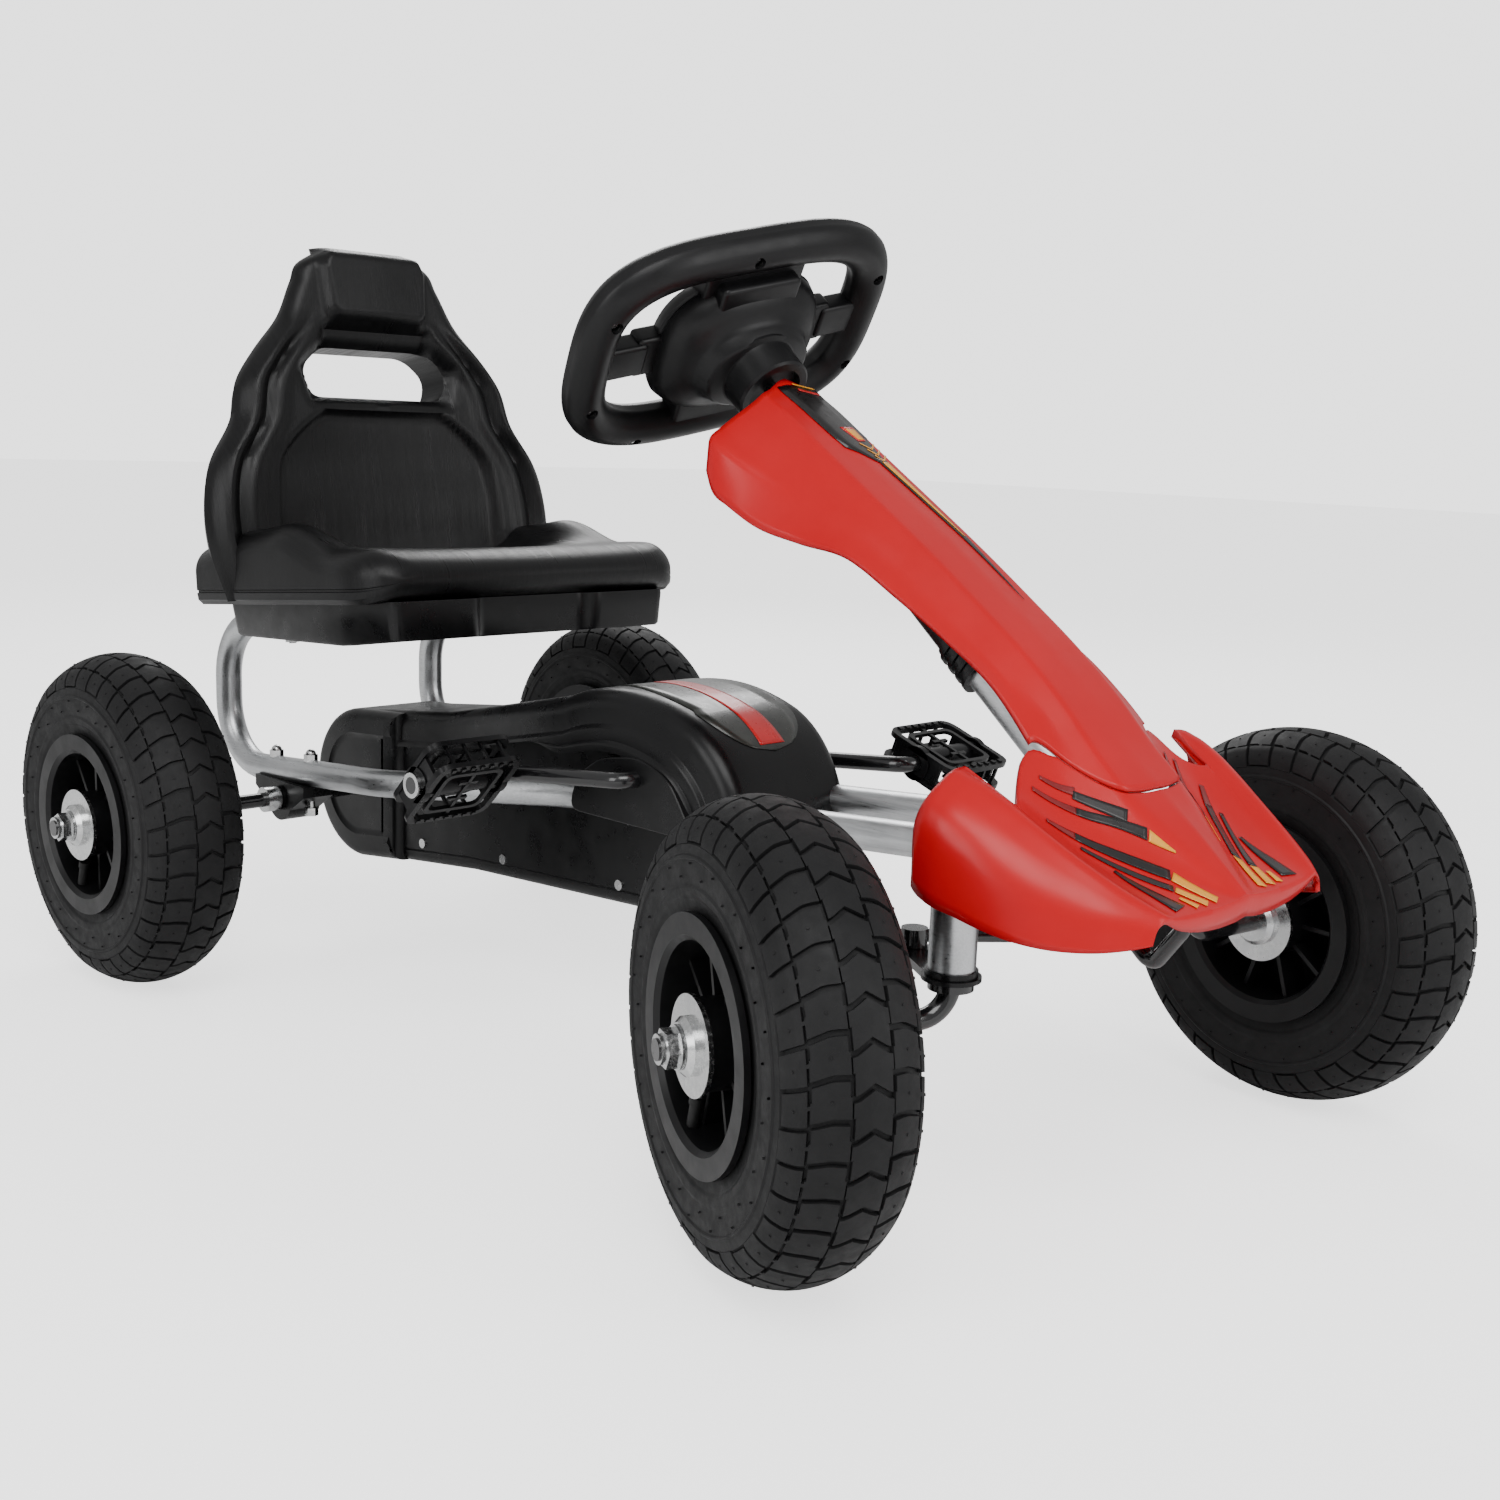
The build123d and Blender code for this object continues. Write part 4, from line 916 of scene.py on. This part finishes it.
def wheel_place(x, y, n):
    """A point of the steering wheel: x to its right, y up and n towards the driver."""
    return HUB + RIGHT * x + ABOVE * y - DOWN * n


GRIP_X, GRIP_Y, GRIP_R, GRIP_N = 112.0, 72.0, 14.5, 3.4


def grip_line(a):
    c, s = cos(a), sin(a)
    x = GRIP_X * (1 if c >= 0 else -1) * abs(c) ** (2 / GRIP_N)
    y = GRIP_Y * (1 if s >= 0 else -1) * abs(s) ** (2 / GRIP_N)
    return np.array([x, y])


def grip_rim():
    """The rim: a round section carried round the grip line, with its moulding seam."""
    dense, count, around = 720, 150, 40
    line = np.array([grip_line(a) for a in np.linspace(0, 2 * pi, dense, endpoint=False)])
    closed = np.vstack([line, line[:1]])
    lengths = np.r_[0, np.cumsum(np.linalg.norm(np.diff(closed, axis=0), axis=1))]
    at = np.linspace(0, lengths[-1], count, endpoint=False)
    line = np.stack([np.interp(at, lengths, closed[:, 0]), np.interp(at, lengths, closed[:, 1])], 1)
    for _ in range(3):
        line = (np.roll(line, 1, 0) + 2 * line + np.roll(line, -1, 0)) / 4
    along = np.roll(line, -1, 0) - np.roll(line, 1, 0)
    along /= np.linalg.norm(along, axis=1)[:, None]
    out = np.stack([along[:, 1], -along[:, 0]], 1)
    section = []
    for k in range(around):
        a = 2 * pi * k / around
        r = GRIP_R * (1 + 0.05 * cos(2 * a) ** 2)
        if k % (around // 2) == 0:  # the seam, outside and inside
            r -= 1.0
        section.append((r * cos(a), r * sin(a)))
    points = []
    for p, n in zip(line, out):
        for o, h in section:
            q = p + n * o
            points.append(wheel_place(q[0], q[1], h))
    return points, grid_faces(count, len(section), True, True)


def flat_solid(outline, low, high, edge):
    """A plate on the steering wheel's plane with rounded edges, from one height to another."""
    outline = np.asarray(outline, float)
    along = np.roll(outline, -1, 0) - np.roll(outline, 1, 0)
    along /= np.maximum(np.linalg.norm(along, axis=1), 1e-9)[:, None]
    inward = np.stack([-along[:, 1], along[:, 0]], 1)
    if ((outline.mean(0) - outline) * inward).sum() < 0:
        inward = -inward
    rings = []
    for a in np.linspace(0, pi / 2, 5):
        rings.append((edge * (1 - sin(a)), low + edge * (1 - cos(a))))
    for a in np.linspace(0, pi / 2, 5):
        rings.append((edge * (1 - cos(a)), high - edge * (1 - sin(a))))
    points = []
    for inset, n in rings:
        points += [wheel_place(x, y, n) for x, y in outline + inward * inset]
    count = len(outline)
    return points, capped(len(rings), count)


def super_outline(a, b, n, count=72):
    """A rounded outline between an ellipse (n = 2) and a box (large n)."""
    made = []
    for k in range(count):
        t = 2 * pi * k / count
        c, s = cos(t), sin(t)
        made.append((a * (1 if c >= 0 else -1) * abs(c) ** (2 / n),
                     b * (1 if s >= 0 else -1) * abs(s) ** (2 / n)))
    return made


def box_outline(x0, x1, y0, y1, radius=4):
    return closed_round([(x0, y0), (x1, y0), (x1, y1), (x0, y1)], radius, 4)


grip = new_piece("steering_grip", *grip_rim(), GRIP, "steering", "black_plastic",
                 ["steering_rim_front", "steering_rim_back", "steering_screws"], sharp=50)
SCREWS = [(-108, 38), (6, 73), (108, 40), (110, -34), (66, -73), (-60, -74), (-108, -40)]
for index, (x, y) in enumerate(SCREWS):
    ring_out = [(x + 4.2 * cos(a), y + 4.2 * sin(a)) for a in np.linspace(0, 2 * pi, 20, endpoint=False)]
    cutter = new_piece(f"screw_cutter_{index}", *prism(ring_out, wheel_place, -30, -9), GRIP, "steering")
    cut(grip, cutter)
    head = [(x + 3.2 * cos(a), y + 3.2 * sin(a)) for a in np.linspace(0, 2 * pi, 20, endpoint=False)]
    new_piece(f"steering_screw_{index}", *flat_solid(head, -11.2, -8.5, 0.6), ZINC, "steering", "zinc_steel")
grip.data.set_sharp_from_angle(angle=radians(50))

SPOKES = {
    "left": [(box_outline(-106, -72, -13, 13), -9, 7), (box_outline(-80, -50, -16, 16), -7, 8)],
    "right": [(box_outline(72, 106, -13, 13), -9, 7), (box_outline(50, 80, -16, 16), -7, 8)],
    "top": [(box_outline(-40, 40, 40, 70, 6), -10, 8), (box_outline(-32, 32, 30, 58, 5), -20, 0)],
    "low": [(box_outline(-36, 36, -72, -36, 8), -12, 8)],
}
for side, plates in SPOKES.items():
    for index, (outline, low, high) in enumerate(plates):
        new_piece(f"spoke_{side}_{index}", *flat_solid(outline, low, high, 3), GRIP, "steering")


def lofted(rings):
    """A closed solid through outlines of equal count, each at its height on the wheel."""
    points = [wheel_place(x, y, n) for outline, n in rings for x, y in outline]
    count = len(rings[0][0])
    return points, capped(len(rings), count)


POD = [(44, 34, 12, 3.0), (56, 44, 11, 3.0), (62, 50, 7, 2.8), (64, 52, 1, 2.8), (64.6, 52.6, -2, 2.8),
       (63, 51, -3.4, 2.8), (64, 52, -5, 2.8), (63, 51, -12, 2.7), (59, 47, -19, 2.6), (52, 40, -24, 2.5),
       (46, 34, -27, 2.4), (43, 31, -31, 2.3), (41, 29.5, -38, 2.2), (38, 27, -40, 2.2)]
new_piece("steering_pod", *lofted([(super_outline(a, b, n), h) for a, b, h, n in POD]), GRIP, "steering",
          "black_plastic", ["hub_pod"], sharp=40)
BADGE = [(24, 18, 11.5), (26, 20, 14), (24, 18, 16), (20, 14, 16.6)]
new_piece("steering_badge", *lofted([(super_outline(a, b, 2.6), h) for a, b, h in BADGE]), GRIP, "steering")
NECK = [(31, -37), (31, -39), (27.5, -40.5), (27, -44), (27, -60), (25.5, -61.5), (20, -61.5), (19, -56)]
new_piece("steering_neck", *lofted([(super_outline(r, r, 2.0, 64), h) for r, h in NECK]), GRIP, "steering",
          "black_plastic", ["column_collar"], sharp=30)


# ---------------------------------------------------------------- fairings
# Half sections at each x as (y, z) corners from the middle out.
UPPER = {
    452: [(0, 483), (28, 479), (60, 450), (70, 443), (71, 424)],
    463: [(0, 475.5), (28, 471), (60, 444), (71, 436), (75, 408)],
    480: [(0, 464), (28, 461), (57, 434), (67, 427), (76, 398)],
    500: [(0, 450.5), (28, 448), (52, 424), (61, 416), (74, 388)],
    534: [(0, 428), (28, 426), (46, 408), (54, 400), (67, 379)],
    571: [(0, 404), (28, 402), (43, 389), (49, 382), (62, 373)],
    609: [(0, 379), (28, 377), (41, 365), (47, 359), (58, 352)],
    647: [(0, 352), (28, 350.5), (41, 339), (47, 334), (56, 330)],
    685: [(0, 324), (28, 323), (42, 312), (47, 308), (56, 306)],
    715: [(0, 298.5), (28.5, 298), (42, 287), (48, 284), (60, 278)],
    740: [(0, 273.5), (29, 273), (43, 262), (49, 257), (62, 249)],
    766: [(0, 252), (30, 250), (44, 241), (50, 236), (64, 228)],
}
UPPER_ROUND = [3, 4, 4]
upper_rows = smooth_curve(list(UPPER), [np.array(v, float).ravel() for v in UPPER.values()])
SEAM_X, SEAM_SIDE_X = 762.0, 716.0


def upper_section(x):
    return rounded_line(upper_rows(x).reshape(-1, 2), UPPER_ROUND)


def seam_x(y):
    """Where the seam between the two fairings lies at each distance from the middle."""
    back = (SEAM_X - SEAM_SIDE_X) * float(ease((abs(y) - 26) / 34))
    return SEAM_X - back + 3 * (1 - min(1, abs(y) / 28) ** 2)


def upper_point(x, j):
    return upper_section(x)[j]


def fairing(point, count, start, end, rows):
    """A skin whose rows run from start(j) to end(j) along the kart, mirrored left to right."""
    points = []
    for i in range(rows):
        u = i / (rows - 1)
        half = []
        for j in range(count):
            x = start(j) + (end(j) - start(j)) * u
            y, z = point(x, j)
            half.append((x, y, z))
        whole = [(x, -y, z) for x, y, z in half[:0:-1]] + half
        points += whole
    columns = 2 * count - 1
    return points, grid_faces(rows, columns)


UPPER_COUNT = len(upper_section(500))
seam_at = [seam_x(upper_point(740, j)[0]) for j in range(UPPER_COUNT)]
lip_y = [upper_point(460, j)[0] for j in range(UPPER_COUNT)]
lip_at = [453.5 + 8 * float(ease(y / 28)) - 7 * float(ease((y - 28) / 40)) for y in lip_y]
upper_skin = fairing(upper_point, UPPER_COUNT, lambda j: lip_at[j], lambda j: seam_at[j] - 0.5, 90)
upper_piece = new_piece("upper_fairing_shell", *upper_skin, RED, "frame", "red_plastic", ["upper_fairing"],
                        sharp=60)
shell(upper_piece, 3)

NOSE = {
    700: [(0, 308), (29, 307), (42, 297), (62, 288), (84, 284), (108, 266),
          (118, 262), (141, 247), (147, 211)],
    706: [(0, 303), (29, 302), (42, 292), (62, 284), (84, 281), (108, 268),
          (118.5, 267), (144, 252), (148.5, 204)],
    716: [(0, 296), (29, 295.5), (42, 285), (61, 274), (82, 268), (106, 262),
          (117, 266), (145, 250), (150, 199)],
    735: [(0, 278), (29, 277.5), (43, 266), (60, 253), (80, 247), (103, 252),
          (114, 258), (142, 241), (147.5, 194)],
    752: [(0, 262.5), (29.5, 261.5), (43, 250), (58, 238), (77, 234), (99, 241),
          (110, 248), (137.5, 231), (143, 189)],
    770: [(0, 248), (28, 246), (40, 235), (56, 225), (74, 222.5), (95, 229),
          (105, 237), (130, 220), (136, 185)],
    790: [(0, 233), (21, 229), (31, 220), (48, 213.5), (66, 212), (88, 217),
          (99, 225), (118, 210), (124, 183)],
    808: [(0, 218), (13, 215), (21, 209), (38, 206), (57, 205.5), (80, 208),
          (92, 214), (106, 203), (109, 184)],
    819: [(0, 208.5), (7, 207), (14, 203.5), (32, 202), (52, 202), (75, 203),
          (87, 207.5), (95, 199), (98, 186.5)],
    826: [(0, 202), (4, 201.5), (10, 200.5), (28, 199.5), (48, 199.5), (70, 200),
          (82, 202), (88, 197), (91, 189)],
}
NOSE_ROUND = [7, 9, 20, 20, 9, 7, 16]
nose_rows = smooth_curve(list(NOSE), [np.array(v, float).ravel() for v in NOSE.values()])


def nose_section(x):
    return rounded_line(nose_rows(x).reshape(-1, 2), NOSE_ROUND)


def nose_point(x, j):
    return nose_section(x)[j]


NOSE_COUNT = len(nose_section(760))


NOTCH_Y, FENDER_Y = 61, 108  # where the notch beside the seam starts and where it meets the fender
FENDER_FROM = NOSE_COUNT * 0.62


def nose_start(j):
    """Where the nose's rear edge lies: on the seam, round the notch, then along the fender's crest."""
    y = nose_point(735, j)[0]
    if y < NOTCH_Y:
        return seam_x(nose_point(750, j)[0]) + 0.5
    if j > FENDER_FROM:
        crest = (j - FENDER_FROM) / (NOSE_COUNT - FENDER_FROM)
        return 707 - 7 * float(ease(crest * 1.2)) + 5 * float(ease((crest - 0.75) / 0.25))
    across = (y - NOTCH_Y) / (FENDER_Y - NOTCH_Y)
    return 716.5 + 22 * float(ease(across)) - 31 * float(ease((across - 0.86) / 0.14))


def nose_end(j):
    y = nose_point(815, j)[0]
    return 827 - 2.0 * (abs(y) / 90) ** 2


nose_starts = [nose_start(j) for j in range(NOSE_COUNT)]
nose_ends = [nose_end(j) for j in range(NOSE_COUNT)]
NOSE_ROWS = 60
points, _ = fairing(nose_point, NOSE_COUNT, lambda j: nose_starts[j], lambda j: nose_ends[j], NOSE_ROWS)
columns = 2 * NOSE_COUNT - 1
last = len(points) - columns
LIP = ((3.0, -0.3), (8.0, 0.2), (13.0, 1.2))  # how the front edge turns down: (drop, back)
for drop, back in LIP:
    for k in range(columns):
        x, y, z = points[last + k]
        side = abs(y) / 91
        points.append((x + (0.5 - back) * (1 - side ** 4), y, z - drop * max(0.02, 1 - side ** 3)))
faces = grid_faces(NOSE_ROWS + len(LIP), columns)
nose_piece = new_piece("nose_fairing_shell", points, faces, RED, "frame", "red_plastic", ["nose_fairing"],
                       sharp=60)
shell(nose_piece, 3)


def film_strip(surface, ends, ink, name, lift=0.5, steps=24):
    """A printed strip on a fairing between (x, y, width) places, following the surface."""
    points = []
    ends = [np.asarray(e, float) for e in ends]
    for k in range(steps + 1):
        u = k / steps * (len(ends) - 1)
        i = min(int(u), len(ends) - 2)
        x, y, wide = ends[i] + (ends[i + 1] - ends[i]) * (u - i)
        way = ends[i + 1][:2] - ends[i][:2]
        way = way / np.linalg.norm(way)
        for j in range(5):
            side = (j / 4 - 0.5) * max(wide, 0.05)
            px, py = x - way[1] * side, y + way[0] * side
            slope = (surface(px + 1, py) - surface(px - 1, py)) / 2
            n = np.array([-slope, 0, 1]) / (1 + slope * slope) ** 0.5
            points.append(np.array([px, py, surface(px, py)]) + n * lift)
    return film(name, points, grid_faces(steps + 1, 5), ink, "red_plastic")


def height_on(section_at):
    """A function that gives the height of a fairing's surface at (x, y)."""
    def height(x, y):
        section = section_at(x)
        return float(np.interp(abs(y), section[:, 0], section[:, 1]))
    return height


upper_z, nose_z = height_on(upper_section), height_on(nose_section)


film_strip(upper_z, [(459, 6, 40), (512, 8.5, 35), (530, 15, 8)], BLACK_INK, "upper_panel", 0.4)
film_strip(upper_z, [(459.5, 1, 1.2), (458, 24, 1.2)], GOLD_INK, "upper_line", 0.8, 8)
film_strip(upper_z, [(464.5, 2, 2.0), (463, 24, 2.0)], RED_INK, "upper_bar", 0.8, 8)
film_strip(upper_z, [(498, 14, 15), (511, 16, 9)], RED_INK, "upper_block_edge", 0.7, 8)
film_strip(upper_z, [(500, 15, 10), (510, 16, 6)], GOLD_INK, "upper_block", 1.0, 8)
for step in range(3):
    x = 513 + 5.5 * step
    film_strip(upper_z, [(x, 25, 1.1), (x + 6, 17, 1.1), (x + 1, 10 + 1.5 * step, 1.1)], GOLD_INK,
               f"upper_chevron_{step}", 0.9, 16)
film_strip(upper_z, [(527, 16, 9.5), (600, 19, 5), (649, 17.5, 0.1)], BLACK_INK, "upper_spike", 0.4, 40)
film_strip(upper_z, [(531, 17, 6), (598, 19.5, 0.6)], GOLD_INK, "upper_wedge", 0.8, 30)

STRIPES = [
    ("a", [(727, -66, 1.5), (742, -52, 3.5)], FADE_INK),
    ("b", [(742, -54, 3.5), (768, -36.5, 5.5)], BLACK_INK),
    ("c", [(729, -75, 2), (748, -58, 3.5)], FADE_INK), ("d", [(748, -58, 3.5), (779, -32.5, 4.5)], BLACK_INK),
    ("e", [(780, -32, 4.5), (793, -24, 0.8)], GOLD_INK),
    ("f", [(745, -82, 3), (757, -71, 5)], FADE_INK), ("g", [(757, -71, 5), (798, -36, 6.5)], BLACK_INK),
    ("h", [(799, -35.5, 6.5), (822, -25, 6.5)], GOLD_INK),
    ("i", [(764, -75, 2.5), (805, -43.5, 5.5)], BLACK_INK),
    ("j", [(806, -43, 5.5), (822, -35, 6.5)], GOLD_INK),
    ("k", [(782, -68, 2.5), (820, -60, 13)], BLACK_INK), ("l", [(812, -48.5, 3), (822, -45, 5)], GOLD_INK)]
for tag, ends, ink in STRIPES:
    for side, name in ((1, "right"), (-1, "left")):
        film_strip(nose_z, [(x, y * side, w) for x, y, w in ends], ink, f"nose_stripe_{name}_{tag}", 0.5, 14)


# ---------------------------------------------------------------- pedals
def ring_prism(outer, inner, place, near, far):
    """A flat ring between two outlines of equal count."""
    count = len(outer)
    points = [place(a, b, h) for line, h in ((outer, near), (outer, far), (inner, far), (inner, near))
              for a, b in line]
    return points, grid_faces(4, count, True, True)


def round_line(radius, steps=28):
    return [(radius * cos(a), radius * sin(a)) for a in np.linspace(0, 2 * pi, steps, endpoint=False)]


def pedal_mesh(centre, tilt):
    """A cage pedal: two treads held apart by ribs, round a barrel for the crank's pin."""
    forward = np.array([cos(tilt), 0, sin(tilt)])
    out = np.array([-sin(tilt), 0, cos(tilt)])
    centre = np.asarray(centre, float)

    def flat(a, y, h):
        return centre + forward * a + np.array([0, y, 0]) + out * h

    def round_place(a, h, y):
        return centre + forward * a + out * h + np.array([0, y, 0])

    points, faces = [], []

    def take(made):
        base = len(points)
        points.extend(made[0])
        faces.extend([tuple(base + i for i in f) for f in made[1]])

    def frame_line(a, b, radius):
        return closed_round([(-a, -b), (a, -b), (a, b), (-a, b)], radius, 5)

    for side in (-1, 1):
        top = side * 11.5
        take(ring_prism(frame_line(34, 35.5, 12), frame_line(29, 30.5, 8), flat, side * 7.5, top))
        take(ring_prism(frame_line(23.5, 25, 8), frame_line(20, 21.5, 6), flat, side * 8, top - side * 0.6))
        for a0, a1, y0, y1 in ((-30, -22, -1.8, 1.8), (22, 30, -1.8, 1.8), (-2, 2, -31, -24), (-2, 2, 24, 31),
                               (-21, 21, -1.4, 1.4), (-11, -8, -8, 8), (8, 11, -8, 8)):
            line = [(a0, y0), (a1, y0), (a1, y1), (a0, y1)]
            take(prism(line, flat, side * 8.2, top - side * 1.2))
        for k in range(7):  # raised teeth along the two long edges of the tread
            for way in (-1, 1):
                y = -24 + 8 * k
                line = [(way * 30.5 - 1.6, y - 1.6), (way * 30.5 + 1.6, y - 1.6), (way * 30.5 + 1.6, y + 1.6),
                        (way * 30.5 - 1.6, y + 1.6)]
                take(prism(line, flat, side * 11, side * 12.6))
    for a in (-31.5, 31.5):
        for y in (-22, -7, 7, 22):
            line = [(a - 1.2, y - 1.0), (a + 1.2, y - 1.0), (a + 1.2, y + 1.0), (a - 1.2, y + 1.0)]
            take(prism(line, flat, -8, 8))
    for y in (-33, 33):
        line = [(-22, y - 1.4), (22, y - 1.4), (22, y + 1.4), (-22, y + 1.4)]
        take(prism(line, flat, -8, 8))
    take(ring_prism(round_line(9.5), round_line(6.4), round_place, -35, 35))
    for y in (-35.5, 30.5):
        take(ring_prism(round_line(13), round_line(6.4), round_place, y, y + 5))
    return points, faces


for tag, tilt in (("right", radians(45)), ("left", radians(-20))):
    low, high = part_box(f"pedal_{tag}")
    middle = (low + high) / 2 * 1000
    piece = new_piece(f"cage_pedal_{tag}", *pedal_mesh((middle.x - AXLE_X, middle.y, middle.z), tilt), PEDAL,
                      f"{tag}_pedal", "black_plastic", [f"pedal_{tag}"], sharp=30)

# ---------------------------------------------------------------- stage
floor_mesh = bpy.data.meshes.new("floor")
floor_mesh.from_pydata([(-14, -14, 0), (14, -14, 0), (14, 14, 0), (-14, 14, 0)], [], [(0, 1, 2, 3)])
floor = placed("floor", floor_mesh)
floor_tree = Tree("pale_floor")
floor_colour = floor_tree.ramp(floor_tree.noise(0.6, 2), (0.3, (0.93, 0.93, 0.93)), (0.7, (0.95, 0.95, 0.95)))
floor_rough = floor_tree.span(floor_tree.noise(3, 2), 0.7, 0.8)
floor_mesh.materials.append(floor_tree.finish(floor_colour, floor_rough))
seen = floor_tree.add("ShaderNodeLightPath")
glow = floor_tree.add("ShaderNodeMath", operation="MULTIPLY")
floor_tree.link(seen.outputs["Is Camera Ray"], glow.inputs[0])
glow.inputs[1].default_value = 1.6
floor_tree.shader.inputs["Emission Color"].default_value = (1, 1, 1, 1)
floor_tree.link(glow.outputs[0], floor_tree.shader.inputs["Emission Strength"])
floor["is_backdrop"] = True

world = bpy.data.worlds.new("studio")
bpy.context.scene.world = world
world.use_nodes = True
world.node_tree.nodes["Background"].inputs["Color"].default_value = (1, 1, 1, 1)
ray = world.node_tree.nodes.new("ShaderNodeLightPath")
bright = world.node_tree.nodes.new("ShaderNodeMapRange")
bright.inputs["To Min"].default_value = 0.55
bright.inputs["To Max"].default_value = 2.4
world.node_tree.links.new(ray.outputs["Is Camera Ray"], bright.inputs["Value"])
world.node_tree.links.new(bright.outputs["Result"], world.node_tree.nodes["Background"].inputs["Strength"])


def area_light(name, place, target, size, power):
    data = bpy.data.lights.new(name, "AREA")
    data.shape = "RECTANGLE"
    data.size, data.size_y = size
    data.energy = power
    light = placed(name, data)
    light.location = place
    light.rotation_mode = "QUATERNION"
    light.rotation_quaternion = (Vector(target) - Vector(place)).to_track_quat("-Z", "Y")


area_light("key", (1.6, -1.2, 2.4), (0, 0, 0.2), (1.6, 1.6), 42)
area_light("side", (0.2, -2.6, 1.2), (0, 0, 0.25), (1.2, 1.6), 22)
area_light("front", (2.9, 0.8, 1.3), (0.1, 0, 0.3), (1.2, 1.6), 24)
area_light("rim", (-1.8, 1.6, 1.9), (0, 0, 0.35), (1.4, 1.0), 26)

# ---------------------------------------------------------------- camera
YAW, PITCH, ROLL = 2.338, 0.186, 0.037
EYE = (1292.149, -876.72, 445.754)
FRAME_WIDTH, SENSOR_WIDTH = 1500, 36
FOCAL, SHIFT_X, SHIFT_Y = 1757.335, 13.214, 13.373  # in units of the frame's width
look = Vector((cos(PITCH) * cos(YAW), cos(PITCH) * sin(YAW), -sin(PITCH)))
side_way = look.cross(Vector((0, 0, 1))).normalized()
up_way = side_way.cross(look)
right_way = side_way * cos(ROLL) + up_way * sin(ROLL)
top_way = up_way * cos(ROLL) - side_way * sin(ROLL)
camera_data = bpy.data.cameras.new("camera")
camera_data.sensor_width = SENSOR_WIDTH
camera_data.lens = FOCAL / FRAME_WIDTH * SENSOR_WIDTH
camera_data.shift_x = -SHIFT_X / FRAME_WIDTH
camera_data.shift_y = SHIFT_Y / FRAME_WIDTH
camera_data.clip_start = 0.02
camera = placed("camera", camera_data)
matrix = Matrix((right_way, top_way, -look)).transposed().to_4x4()
matrix.translation = Vector(to_frame([EYE])[0])
camera.matrix_world = matrix
bpy.context.scene.camera = camera

low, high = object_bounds()
